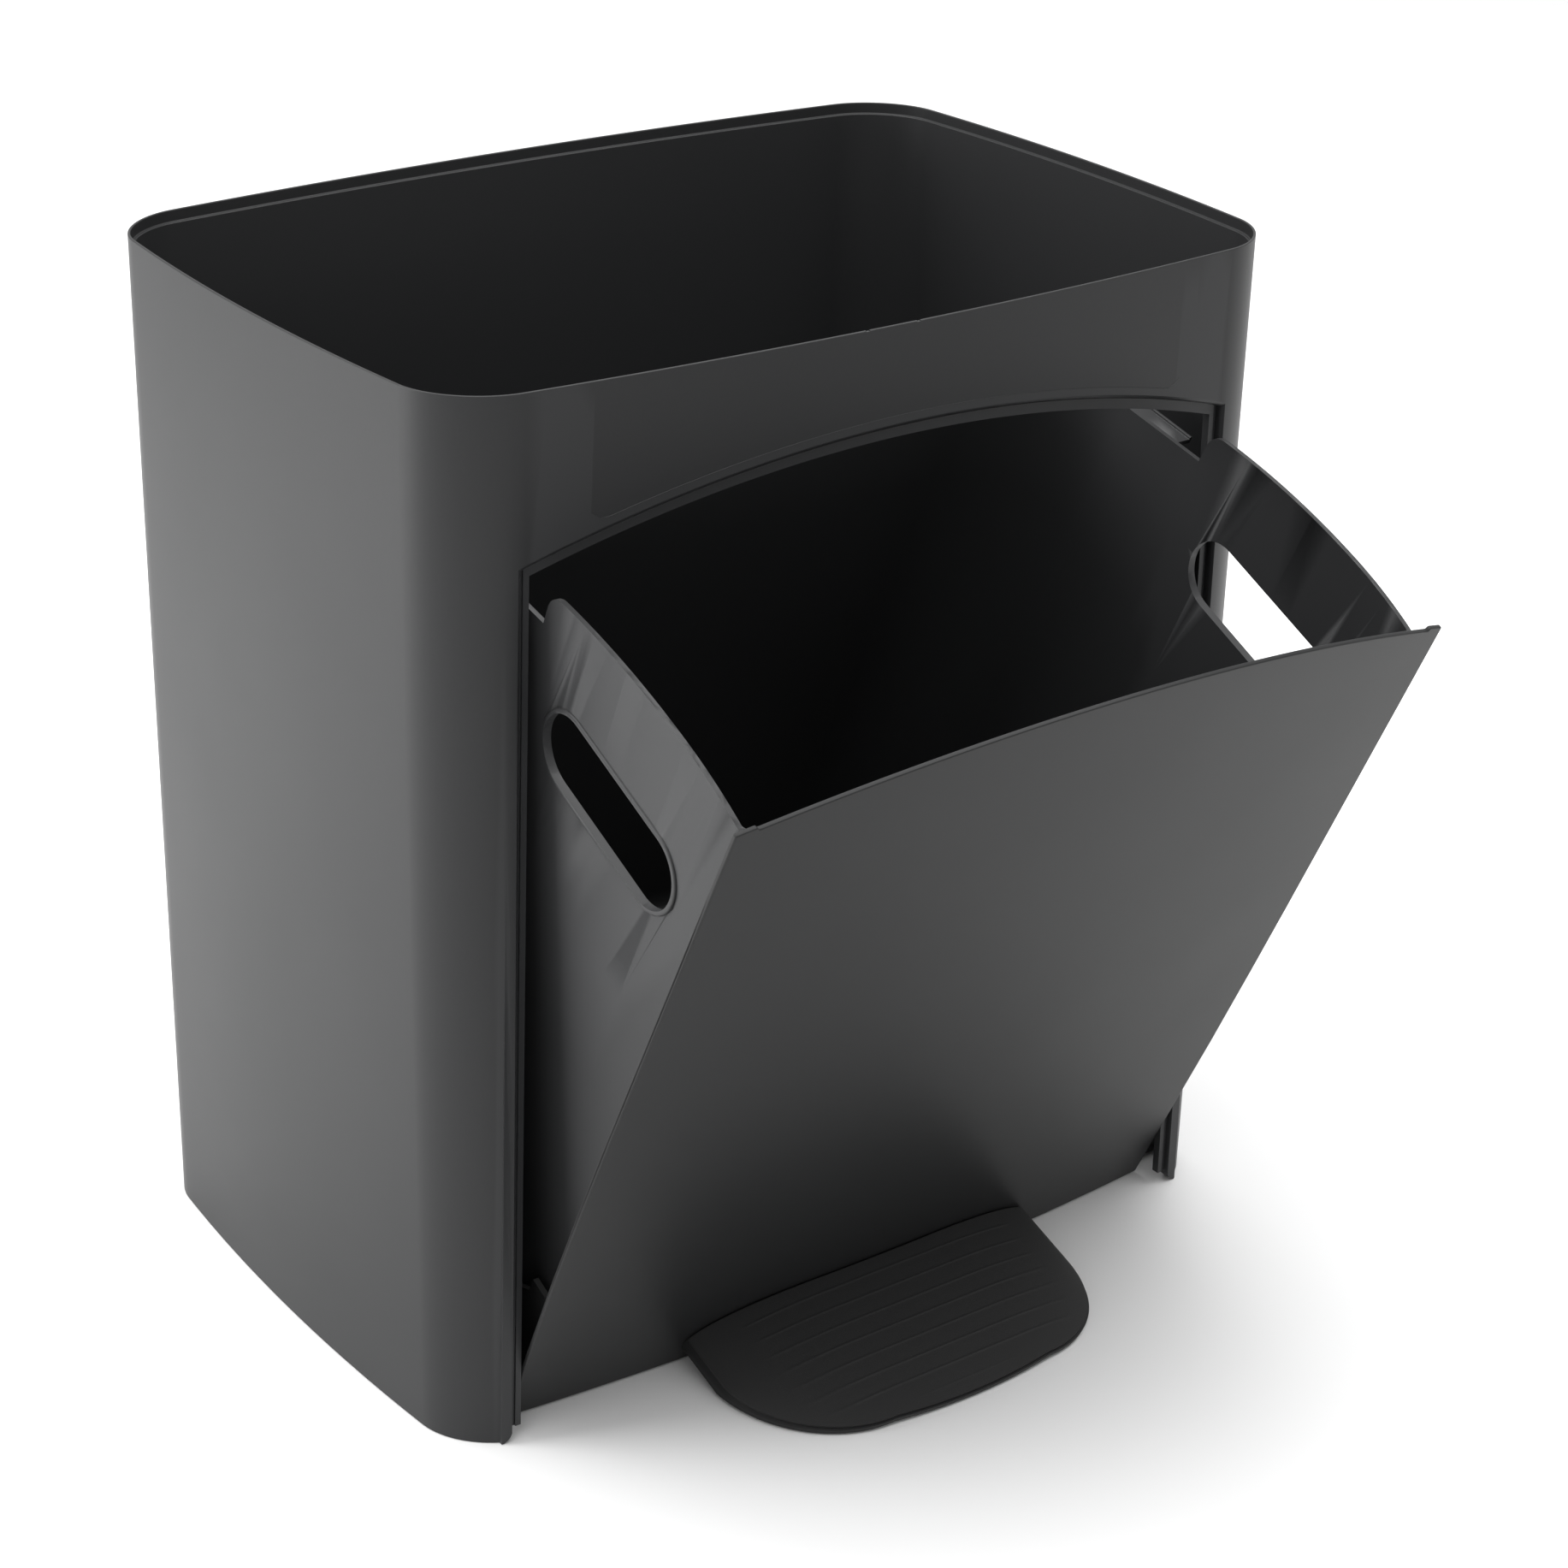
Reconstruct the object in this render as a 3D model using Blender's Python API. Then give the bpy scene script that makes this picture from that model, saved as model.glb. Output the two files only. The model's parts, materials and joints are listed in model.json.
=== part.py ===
"""Open-topped waste bin with a pedal-operated bucket that tips out of an arched front opening.

Metres, +Z up, the front faces -Y. The casing stands on the floor. The tipping pieces are modelled
upright, as when the bin is shut, under an empty on the pivot axis, and the empty is turned to the
open position, which is the pose at rest.
"""

import math

import bmesh
import bpy
from mathutils import Matrix, Vector

# Casing: overall size, corner, and how far each wall bows out between its corners.
HALF_WIDTH = 0.250
HALF_DEPTH = 0.173
HEIGHT = 0.540
CORNER_RADIUS = 0.038
FRONT_BOW = 0.0125
SIDE_BOW = 0.0095
WALL = 0.0032
LIP_WALL = 0.0016
LIP_HEIGHT = 0.006

# Arched front opening with a stepped rebate that the panel closes into.
ARCH_CROWN = HEIGHT - 0.050
ARCH_RADIUS = 2.736 * HALF_WIDTH
OPENING_HALF_FLOOR = HALF_WIDTH - 0.0354
JAMB_LEAN = 0.0087
JAMB_HEIGHT = HEIGHT - 0.081
REBATE_DEPTH = 0.0040
LEDGE_WIDTH = 0.0057
LEDGE_WALL = 0.0045
FRAME_WALL = 0.0030

# Pivot of the tipping assembly.
PIVOT_Y = 0.0696 - HALF_DEPTH
PIVOT_Z = 0.0580
OPEN_ANGLE = math.radians(24.6)
PIN_RADIUS = 0.005
PIN_HEAD_RADIUS = 0.008
PIN_HEAD = 0.0024
PIN_CLEARANCE = 0.0003
BUSH_WALL = 0.0028
BUSH_FLANGE_RADIUS = 0.0115
BUSH_FLANGE = 0.0016
BRACKET_THICKNESS = 0.010
BRACKET_HALF_FOOT = 0.026
BRACKET_TOP_RADIUS = 0.017
BRACKET_FOOT = 0.003
BRACKET_FOOT_REACH = 0.019

# Gap between touching pieces, and the wider gap between pieces that only face each other.
GAP = 0.0003
FACE_GAP = 0.0008

# Front panel.
PANEL_THICKNESS = 0.0025
PANEL_SIDE_CLEARANCE = 0.0012
PANEL_HALF_WIDTH = HALF_WIDTH - 0.0408
PANEL_TOP_CLEARANCE = 0.0028
PANEL_FLOOR_CLEARANCE = 0.0011
PANEL_TAB_HEIGHT = 0.0018
PANEL_TAB_WIDTH = 0.011
PANEL_HEEL_HEIGHT = 0.140
PANEL_HEEL_INSET = 0.0030
PANEL_BOSS_RADIUS = 0.006
PANEL_BOSS_LENGTH = 0.0075

# Cradle that carries the bucket on the pivots.
CRADLE_HALF_WIDTH = HALF_WIDTH - 0.0565
CRADLE_WALL = 0.0030
CRADLE_BOTTOM = 0.0260
CRADLE_REAR = HALF_DEPTH - 0.065
CRADLE_SIDE_HEIGHT = 0.020
CRADLE_FRONT_HEIGHT = 0.070
CRADLE_FRONT_START = 0.028 - HALF_DEPTH

# Bucket.
BUCKET_WALL = 0.0025
BUCKET_FLOOR = 0.0030
BUCKET_HALF_TOP = HALF_WIDTH - 0.0538
BUCKET_HALF_FOOT = HALF_WIDTH - 0.0640
BUCKET_REAR_TOP = HALF_DEPTH - 0.055
BUCKET_REAR_FOOT = HALF_DEPTH - 0.075
BUCKET_FRONT_TOP = 0.0055
BUCKET_FRONT_FOOT = 0.0182
BUCKET_REAR_RADIUS = 0.060
BUCKET_FRONT_RADIUS = 0.005
BUCKET_TOP = HEIGHT - 0.070
BUCKET_FRONT_RIM = HEIGHT - 0.099
BUCKET_HEEL = 0.006
EAR_FRONT = 0.0145 - HALF_DEPTH
EAR_REAR = 0.173 - HALF_DEPTH
EAR_CROWN = HEIGHT - 0.0857
EAR_CROWN_Y = 0.063 - HALF_DEPTH
EAR_REAR_RADIUS = 0.470
EAR_FRONT_RADIUS = 0.250
EAR_CORNER = 0.011
REAR_RIM = HEIGHT - 0.1175
REAR_RIM_SLOPE = math.radians(12.0)
FLANGE_REACH = 0.0088
FLANGE_THICKNESS = 0.0025
FLANGE_LIP = 0.0015
FLANGE_START = 0.189 - HALF_DEPTH
HAND_HOLE_Y = 0.0945 - HALF_DEPTH
HAND_HOLE_Z = HEIGHT - 0.1605
HAND_HOLE_LENGTH = 0.1085
HAND_HOLE_HEIGHT = 0.0385
BEAD_WIDTH = 0.0024
BEAD_PROUD = 0.0014

# Pedal and its tread.
PEDAL_HALF_WIDTH = 0.1107
PEDAL_REACH = 0.0960
PEDAL_TOP = 0.0640
PEDAL_RISE = math.radians(7.0)
PEDAL_FRONT_RADIUS = 0.337
PEDAL_CORNER_WIDTH = 0.060
PEDAL_CORNER_DEPTH = 0.062
PEDAL_CROWN_FLAT = 0.038
PEDAL_CROWN_DROP = 0.0205
PEDAL_THICKNESS = 0.0026
TREAD_THICKNESS = 0.0018
TREAD_INSET = 0.0012
PEDAL_FLANGE_THICKNESS = 0.0055
PEDAL_FLANGE_HALF_WIDTH = 0.092
PEDAL_FLANGE_BOTTOM = 0.0335
PEDAL_RIB_THICKNESS = 0.0030
PEDAL_RIB_SPACING = 0.045
PEDAL_RIB_HEIGHT = 0.0120
PEDAL_RIB_REACH = 0.060

# Base tray, its pads and the bosses in the casing that it screws to.
TRAY_BOTTOM = 0.0022
TRAY_THICKNESS = 0.0040
TRAY_FRONT = 0.039 - HALF_DEPTH
PAD_RADIUS = 0.012
BOSS_RADIUS = 0.007
BOSS_HEIGHT = 0.024
FRONT_BOSS = (HALF_WIDTH - 0.0115, 0.077 - HALF_DEPTH)
REAR_BOSS = (HALF_WIDTH - 0.090, HALF_DEPTH - 0.0135)
FRONT_PAD = (HALF_WIDTH - 0.100, 0.068 - HALF_DEPTH)
REAR_PAD = (HALF_WIDTH - 0.060, HALF_DEPTH - 0.053)

# Screws.
SCREW_RADIUS = 0.0018
SCREW_HEAD_RADIUS = 0.0038
SCREW_HEAD = 0.0016
SCREW_SIDES = 12

CORNER_STEPS = 8
SIDE_STEPS = 10
OPENING_COLUMNS = 24


def clear_scene():
    for obj in list(bpy.data.objects):
        bpy.data.objects.remove(obj, do_unlink=True)


def material(name, colour, roughness, metallic=0.0):
    mat = bpy.data.materials.new(name)
    mat.use_nodes = True
    shader = mat.node_tree.nodes["Principled BSDF"]
    shader.inputs["Base Color"].default_value = (*colour, 1.0)
    shader.inputs["Roughness"].default_value = roughness
    shader.inputs["Metallic"].default_value = metallic
    return mat


def new_object(name, bm, mat, parent, smooth=True):
    bmesh.ops.remove_doubles(bm, verts=bm.verts, dist=1e-7)
    bmesh.ops.recalc_face_normals(bm, faces=bm.faces)
    mesh = bpy.data.meshes.new(name)
    bm.to_mesh(mesh)
    bm.free()
    if smooth:
        mesh.shade_smooth()
        mesh.set_sharp_from_angle(angle=math.radians(30))
    obj = bpy.data.objects.new(name, mesh)
    bpy.context.scene.collection.objects.link(obj)
    if mat:
        mesh.materials.append(mat)
    obj.parent = parent
    return obj


def helper(name, bm, parent):
    """A shape that only cuts or joins: never a piece of the bin."""
    obj = new_object(name, bm, None, parent, smooth=False)
    obj.hide_render = True
    obj.display_type = "WIRE"
    return obj


def boolean(obj, other, operation):
    mod = obj.modifiers.new(other.name, "BOOLEAN")
    mod.operation = operation
    mod.solver = "EXACT"
    mod.object = other


def cut(obj, other):
    boolean(obj, other, "DIFFERENCE")


def join(obj, other):
    boolean(obj, other, "UNION")


# ---- shapes ----


def ring_solid(rings, cap_ends=False):
    """Skin over rings of equal length: capped at both ends, or closed on itself."""
    bm = bmesh.new()
    rows = [[bm.verts.new(p) for p in ring] for ring in rings]
    count = len(rows[0])
    pairs = list(zip(rows, rows[1:]))
    if not cap_ends:
        pairs.append((rows[-1], rows[0]))
    for low, high in pairs:
        for i in range(count):
            j = (i + 1) % count
            bm.faces.new((low[i], low[j], high[j], high[i]))
    if cap_ends:
        bm.faces.new(rows[0])
        bm.faces.new(rows[-1])
    return bm


def prism(outline, start, end, axis):
    """A flat outline pushed from start to end along an axis."""
    def place(u, v, w):
        if axis == "X":
            return (w, u, v)
        if axis == "Y":
            return (u, w, v)
        return (u, v, w)

    rings = [[place(u, v, w) for u, v in outline] for w in (start, end)]
    return ring_solid(rings, cap_ends=True)


def box(low, high):
    outline = [(low[0], low[1]), (high[0], low[1]), (high[0], high[1]), (low[0], high[1])]
    return prism(outline, low[2], high[2], "Z")


def turned(profile, axis, centre, sides):
    """A closed (radius, height) profile turned about an axis through centre."""
    turn = {"Z": Matrix(), "X": Matrix.Rotation(math.pi / 2, 4, "Y"), "Y": Matrix.Rotation(math.pi / 2, 4, "X")}
    place = Matrix.Translation(Vector(centre)) @ turn[axis]
    rings = []
    for radius, height in profile:
        ring = []
        for i in range(sides):
            angle = 2 * math.pi * (i + 0.5) / sides
            point = Vector((radius * math.cos(angle), radius * math.sin(angle), height))
            ring.append(place @ point)
        rings.append(ring)
    return rings


def rod(axis, centre, radius, start, end, sides=16):
    return ring_solid(turned([(radius, start), (radius, end)], axis, centre, sides), cap_ends=True)


def arc(centre, radius, start, end, steps):
    points = []
    for i in range(steps + 1):
        angle = start + (end - start) * i / steps
        points.append((centre[0] + radius * math.cos(angle), centre[1] + radius * math.sin(angle)))
    return points


# ---- the casing's plan and its arched opening ----


def bowed(x, y):
    return (
        x * (1 - SIDE_BOW / HALF_WIDTH * (y / HALF_DEPTH) ** 2),
        y * (1 - FRONT_BOW / HALF_DEPTH * (x / HALF_WIDTH) ** 2),
    )


def casing_plan(inset):
    """The casing's outline, drawn in by inset, anticlockwise from the front left."""
    a = HALF_WIDTH - inset
    b = HALF_DEPTH - inset
    r = CORNER_RADIUS - inset
    points = []
    corners = ((a - r, r - b, -90), (a - r, b - r, 0), (r - a, b - r, 90), (r - a, r - b, 180))
    for cx, cy, start in corners:
        begin = math.radians(start)
        corner = arc((cx, cy), r, begin, begin + math.pi / 2, CORNER_STEPS)
        if points:
            points += between(points[-1], corner[0])
        points += corner
    points += between(points[-1], points[0])
    return [bowed(x, y) for x, y in points]


def between(start, end):
    steps = [i / SIDE_STEPS for i in range(1, SIDE_STEPS)]
    return [(start[0] + (end[0] - start[0]) * t, start[1] + (end[1] - start[1]) * t) for t in steps]


def front_y(x):
    """Where the casing's outer front face lies at x."""
    y = -HALF_DEPTH
    for _ in range(4):
        flat_x = x / (1 - SIDE_BOW / HALF_WIDTH * (y / HALF_DEPTH) ** 2)
        y = -HALF_DEPTH * (1 - FRONT_BOW / HALF_DEPTH * (flat_x / HALF_WIDTH) ** 2)
    return y


def opening_half(z):
    """Half the opening's width: its jambs lean in towards the top."""
    return OPENING_HALF_FLOOR - JAMB_LEAN * z / JAMB_HEIGHT


def arch_z(x):
    return ARCH_CROWN - ARCH_RADIUS + math.sqrt(ARCH_RADIUS ** 2 - x ** 2)


def arched_slab(half_width, top, levels, front, back, columns=OPENING_COLUMNS):
    """A slab that follows the bowed front: front and back are distances behind the casing's face.

    The first of levels and top are functions of x, for the lower and the upper edge.
    """
    def sheet(offset):
        grid = []
        for i in range(columns + 1):
            share = 2 * i / columns - 1
            foot = levels[0](share * half_width(0.0))
            crest = top(share * half_width(JAMB_HEIGHT))
            column = []
            for z in [foot] + levels[1:] + [crest]:
                x = share * half_width(z)
                column.append((x, front_y(x) + offset, z))
            grid.append(column)
        return grid

    rows = len(levels)
    bm = bmesh.new()
    faces = [[[bm.verts.new(p) for p in column] for column in sheet(offset)] for offset in (front, back)]
    for near in faces:
        for i in range(columns):
            for j in range(rows):
                bm.faces.new((near[i][j], near[i + 1][j], near[i + 1][j + 1], near[i][j + 1]))
    near, far = faces
    for i in range(columns):
        for j in (0, rows):
            bm.faces.new((near[i][j], near[i + 1][j], far[i + 1][j], far[i][j]))
    for j in range(rows):
        for i in (0, columns):
            bm.faces.new((near[i][j], near[i][j + 1], far[i][j + 1], far[i][j]))
    return bm


def opening_slab(inset, bottom, front, back):
    """The opening's outline drawn in by inset, as a slab."""
    return arched_slab(lambda z: opening_half(z) - inset, lambda x: arch_z(x) - inset, [lambda x: bottom], front, back)


# ---- screws ----


def screw(name, axis, head_at, direction, length, place, mat, parent):
    """A pan-head screw: its head's inner face is at head_at, its shank runs along direction."""
    d = direction
    profile = [
        (SCREW_HEAD_RADIUS * 0.6, -SCREW_HEAD * d),
        (SCREW_HEAD_RADIUS, -SCREW_HEAD * 0.5 * d),
        (SCREW_HEAD_RADIUS, 0),
        (SCREW_RADIUS, 0),
        (SCREW_RADIUS, (length - SCREW_RADIUS) * d),
        (SCREW_RADIUS * 0.4, length * d),
    ]
    rings = turned(profile, axis, (0, 0, 0), SCREW_SIDES)
    shift = {"X": Vector((head_at, place[0], place[1])), "Y": Vector((place[0], head_at, place[1]))}
    shift["Z"] = Vector((place[0], place[1], head_at))
    rings = [[Vector(p) + shift[axis] for p in ring] for ring in rings]
    return new_object(name, ring_solid(rings, cap_ends=True), mat, parent)


def screw_hole(name, axis, place, start, end, parent):
    centre = {"X": (0, place[0], place[1]), "Y": (place[0], 0, place[1]), "Z": (place[0], place[1], 0)}[axis]
    if axis == "Y":
        start, end = -start, -end
    return helper(name, rod(axis, centre, SCREW_RADIUS + GAP, start, end, SCREW_SIDES), parent)


# ---- casing and base ----


def make_casing(mat, parent):
    def level(inset, z):
        return [(x, y, z) for x, y in casing_plan(inset)]

    rings = [
        level(0, 0),
        level(0, HEIGHT),
        level(LIP_WALL, HEIGHT),
        level(LIP_WALL, HEIGHT - LIP_HEIGHT),
        level(WALL, HEIGHT - LIP_HEIGHT),
        level(WALL, 0),
    ]
    casing = new_object("casing", ring_solid(rings), mat, parent)
    depth = REBATE_DEPTH + LEDGE_WALL
    join(casing, helper("opening_frame", opening_slab(-FRAME_WALL, 0.0, WALL / 2, depth), parent))
    cut(casing, helper("rebate_cut", opening_slab(0, -0.01, -0.02, REBATE_DEPTH), parent))
    cut(casing, helper("opening_cut", opening_slab(LEDGE_WIDTH, -0.012, -0.02, depth + 0.02), parent))
    for name, place in base_screw_places().items():
        boss_bottom = TRAY_BOTTOM + TRAY_THICKNESS + GAP
        boss = rod("Z", (*place, 0), BOSS_RADIUS, boss_bottom, boss_bottom + BOSS_HEIGHT, 20)
        join(casing, helper("boss_" + name, boss, parent))
        cut(casing, screw_hole("boss_hole_" + name, "Z", place, 0.0, boss_bottom + 0.016, parent))
    return casing


def mirrored_places(front, rear):
    places = {}
    for side, sign in (("left", -1), ("right", 1)):
        places["front_" + side] = (sign * front[0], front[1])
        places["rear_" + side] = (sign * rear[0], rear[1])
    return places


def base_screw_places():
    return mirrored_places(FRONT_BOSS, REAR_BOSS)


def make_base_tray(mat, parent):
    outline = casing_plan(WALL + FACE_GAP)
    top = TRAY_BOTTOM + TRAY_THICKNESS
    tray = new_object("base_tray", prism(outline, TRAY_BOTTOM, top, "Z"), mat, parent)
    front = box((-HALF_WIDTH, -HALF_DEPTH - 0.01, -0.01), (HALF_WIDTH, TRAY_FRONT, 0.03))
    cut(tray, helper("tray_front_cut", front, parent))
    for name, place in base_screw_places().items():
        cut(tray, screw_hole("tray_hole_" + name, "Z", place, -0.01, 0.02, parent))
    for side, sign in (("left", -1), ("right", 1)):
        for end, place in bracket_screw_places(sign).items():
            hole = screw_hole("tray_bracket_hole_%s_%s" % (end, side), "Z", place, -0.01, 0.02, parent)
            cut(tray, hole)
    return tray


def make_base_screws(mat, parent):
    for name, place in base_screw_places().items():
        screw("base_screw_" + name, "Z", TRAY_BOTTOM - GAP, 1, 0.018, place, mat, parent)


def make_pads(mat, parent):
    for name, place in mirrored_places(FRONT_PAD, REAR_PAD).items():
        pad = rod("Z", (*place, 0), PAD_RADIUS, 0.0, TRAY_BOTTOM - GAP, 20)
        new_object("anti_slip_pad_" + name, pad, mat, parent)


# ---- pivots ----


def cheek_outer():
    return CRADLE_HALF_WIDTH


def bracket_inner():
    return cheek_outer() + GAP + BUSH_FLANGE + GAP


def bracket_outer():
    return bracket_inner() + BRACKET_THICKNESS


def bush_radius():
    return PIN_RADIUS + PIN_CLEARANCE + BUSH_WALL


def bracket_screw_places(sign):
    x = sign * (bracket_outer() + BRACKET_FOOT_REACH * 0.6)
    spread = BRACKET_HALF_FOOT * 0.6
    return {"front": (x, PIVOT_Y - spread), "rear": (x, PIVOT_Y + spread)}


def make_bracket(side, sign, mat, parent):
    foot = TRAY_BOTTOM + TRAY_THICKNESS + GAP
    head = arc((PIVOT_Y, PIVOT_Z), BRACKET_TOP_RADIUS, math.radians(-5), math.radians(185), 14)
    outline = [(PIVOT_Y - BRACKET_HALF_FOOT, foot), (PIVOT_Y + BRACKET_HALF_FOOT, foot)] + head
    inner, outer = sign * bracket_inner(), sign * bracket_outer()
    bracket = new_object("pivot_bracket_" + side, prism(outline, inner, outer, "X"), mat, parent)
    reach = sign * (bracket_outer() + BRACKET_FOOT_REACH)
    start = sign * (bracket_inner() + BRACKET_THICKNESS / 2)
    low = (min(start, reach), PIVOT_Y - BRACKET_HALF_FOOT + GAP, foot)
    high = (max(start, reach), PIVOT_Y + BRACKET_HALF_FOOT - GAP, foot + BRACKET_FOOT)
    join(bracket, helper("bracket_foot_" + side, box(low, high), parent))
    bore = rod("X", (0, PIVOT_Y, PIVOT_Z), bush_radius() + GAP, inner - 0.01 * sign, outer + 0.01 * sign, 24)
    cut(bracket, helper("bracket_bore_" + side, bore, parent))
    for end, place in bracket_screw_places(sign).items():
        cut(bracket, screw_hole("bracket_hole_%s_%s" % (end, side), "Z", place, 0.0, 0.03, parent))


def make_bracket_screws(side, sign, mat, parent):
    head_at = TRAY_BOTTOM + TRAY_THICKNESS + GAP + BRACKET_FOOT + GAP
    for end, place in bracket_screw_places(sign).items():
        screw("bracket_screw_%s_%s" % (end, side), "Z", head_at, -1, 0.0069, place, mat, parent)


def make_bush(side, sign, mat, parent):
    bore = PIN_RADIUS + PIN_CLEARANCE
    start = cheek_outer() + GAP
    profile = [
        (bore, start),
        (BUSH_FLANGE_RADIUS, start),
        (BUSH_FLANGE_RADIUS, start + BUSH_FLANGE),
        (bush_radius(), start + BUSH_FLANGE),
        (bush_radius(), bracket_outer()),
        (bore, bracket_outer()),
    ]
    rings = turned([(r, sign * w) for r, w in profile], "X", (0, PIVOT_Y, PIVOT_Z), 24)
    new_object("pivot_bush_" + side, ring_solid(rings), mat, parent)


def make_pin(side, sign, mat, parent):
    """The pin is fixed in the cradle's cheek, its head inside, and turns in the bush."""
    head_outer = cheek_outer() - CRADLE_WALL - GAP
    end = bracket_outer() + 0.002
    profile = [
        (PIN_HEAD_RADIUS, head_outer - PIN_HEAD),
        (PIN_HEAD_RADIUS, head_outer),
        (PIN_RADIUS, head_outer),
        (PIN_RADIUS, end - 0.001),
        (PIN_RADIUS - 0.001, end),
    ]
    rings = turned([(r, sign * w) for r, w in profile], "X", (0, 0, 0), 24)
    new_object("pivot_pin_" + side, ring_solid(rings, cap_ends=True), mat, parent)


# ---- tipping pieces, upright, placed from the pivot ----


def from_pivot(bm):
    bmesh.ops.translate(bm, verts=bm.verts, vec=(0, -PIVOT_Y, -PIVOT_Z))
    return bm


def panel_half(z):
    heel = PANEL_HEEL_INSET * max(1 - z / PANEL_HEEL_HEIGHT, 0)
    return min(opening_half(z) - PANEL_SIDE_CLEARANCE, PANEL_HALF_WIDTH) - heel


def panel_top(x):
    edge = opening_half(JAMB_HEIGHT) - PANEL_SIDE_CLEARANCE
    tab = PANEL_TAB_HEIGHT if abs(x) > edge - PANEL_TAB_WIDTH else 0
    return arch_z(x) - PANEL_TOP_CLEARANCE + tab


def panel_bottom(x):
    """The lower edge hangs level, just clear of the floor, when the bin is tipped open."""
    drop = (PIVOT_Y - front_y(x)) * math.sin(OPEN_ANGLE)
    return PIVOT_Z - (PIVOT_Z - PANEL_FLOOR_CLEARANCE - drop) / math.cos(OPEN_ANGLE)


def panel_screw_places():
    outer = PANEL_HALF_WIDTH - 0.0492
    inner = 0.055
    return {"outer_left": -outer, "inner_left": -inner, "inner_right": inner, "outer_right": outer}


def cradle_front_offset():
    """Distance of the cradle's front wall behind the casing's face."""
    return PANEL_THICKNESS + PANEL_BOSS_LENGTH + GAP


def panel_screw_z():
    return CRADLE_BOTTOM + CRADLE_WALL + 0.020


def pedal_screw_places():
    return {"left": -0.078, "right": 0.078}


def pedal_screw_z():
    return (PEDAL_FLANGE_BOTTOM + PEDAL_TOP) / 2 - 0.003


def make_panel(mat, parent):
    straight = JAMB_HEIGHT * (OPENING_HALF_FLOOR - PANEL_SIDE_CLEARANCE - PANEL_HALF_WIDTH) / JAMB_LEAN
    levels = [panel_bottom, PANEL_HEEL_HEIGHT, straight]
    slab = arched_slab(panel_half, panel_top, levels, 0.0, PANEL_THICKNESS, columns=40)
    panel = new_object("front_panel", from_pivot(slab), mat, parent)
    for name, x in panel_screw_places().items():
        start = front_y(x) + PANEL_THICKNESS / 2
        end = front_y(x) + cradle_front_offset() - GAP - 0.0004
        boss = rod("Y", (x, 0, panel_screw_z()), PANEL_BOSS_RADIUS, -start, -end, 16)
        join(panel, helper("panel_boss_" + name, from_pivot(boss), parent))
        place = (x, panel_screw_z())
        hole = screw_hole_bm("Y", place, front_y(x) + PANEL_THICKNESS, end + 0.01)
        cut(panel, helper("panel_boss_hole_" + name, from_pivot(hole), parent))
    for name, x in pedal_screw_places().items():
        hole = screw_hole_bm("Y", (x, pedal_screw_z()), front_y(x) - 0.01, front_y(x) + 0.02)
        cut(panel, helper("panel_pedal_hole_" + name, from_pivot(hole), parent))
    return panel


def screw_hole_bm(axis, place, start, end):
    return rod(axis, (place[0], 0, place[1]), SCREW_RADIUS + GAP, -start, -end, SCREW_SIDES)


def make_panel_screws(mat, parent):
    for name, x in panel_screw_places().items():
        slope = 0.0004
        head_at = front_y(x) + cradle_front_offset() + CRADLE_WALL + slope
        place = (x, panel_screw_z())
        piece = screw("panel_screw_" + name, "Y", head_at, 1, 0.0100, place, mat, parent)
        move_to_pivot(piece)


def move_to_pivot(obj):
    obj.data.transform(Matrix.Translation((0, -PIVOT_Y, -PIVOT_Z)))


def make_pedal_screws(mat, parent):
    for name, x in pedal_screw_places().items():
        head_at = front_y(x) + PANEL_THICKNESS + GAP + 0.0002
        place = (x, pedal_screw_z())
        piece = screw("pedal_screw_" + name, "Y", head_at, 1, 0.0070, place, mat, parent)
        move_to_pivot(piece)


def cradle_side_outline():
    rear = CRADLE_REAR
    low = CRADLE_BOTTOM
    side = CRADLE_BOTTOM + CRADLE_SIDE_HEIGHT
    cheek = PIVOT_Z + BRACKET_TOP_RADIUS
    return [
        (CRADLE_FRONT_START, low),
        (rear, low),
        (rear, side),
        (PIVOT_Y + 0.045, side),
        (PIVOT_Y + 0.018, cheek),
        (PIVOT_Y - 0.018, cheek),
        (CRADLE_FRONT_START, CRADLE_BOTTOM + CRADLE_FRONT_HEIGHT),
    ]


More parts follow.
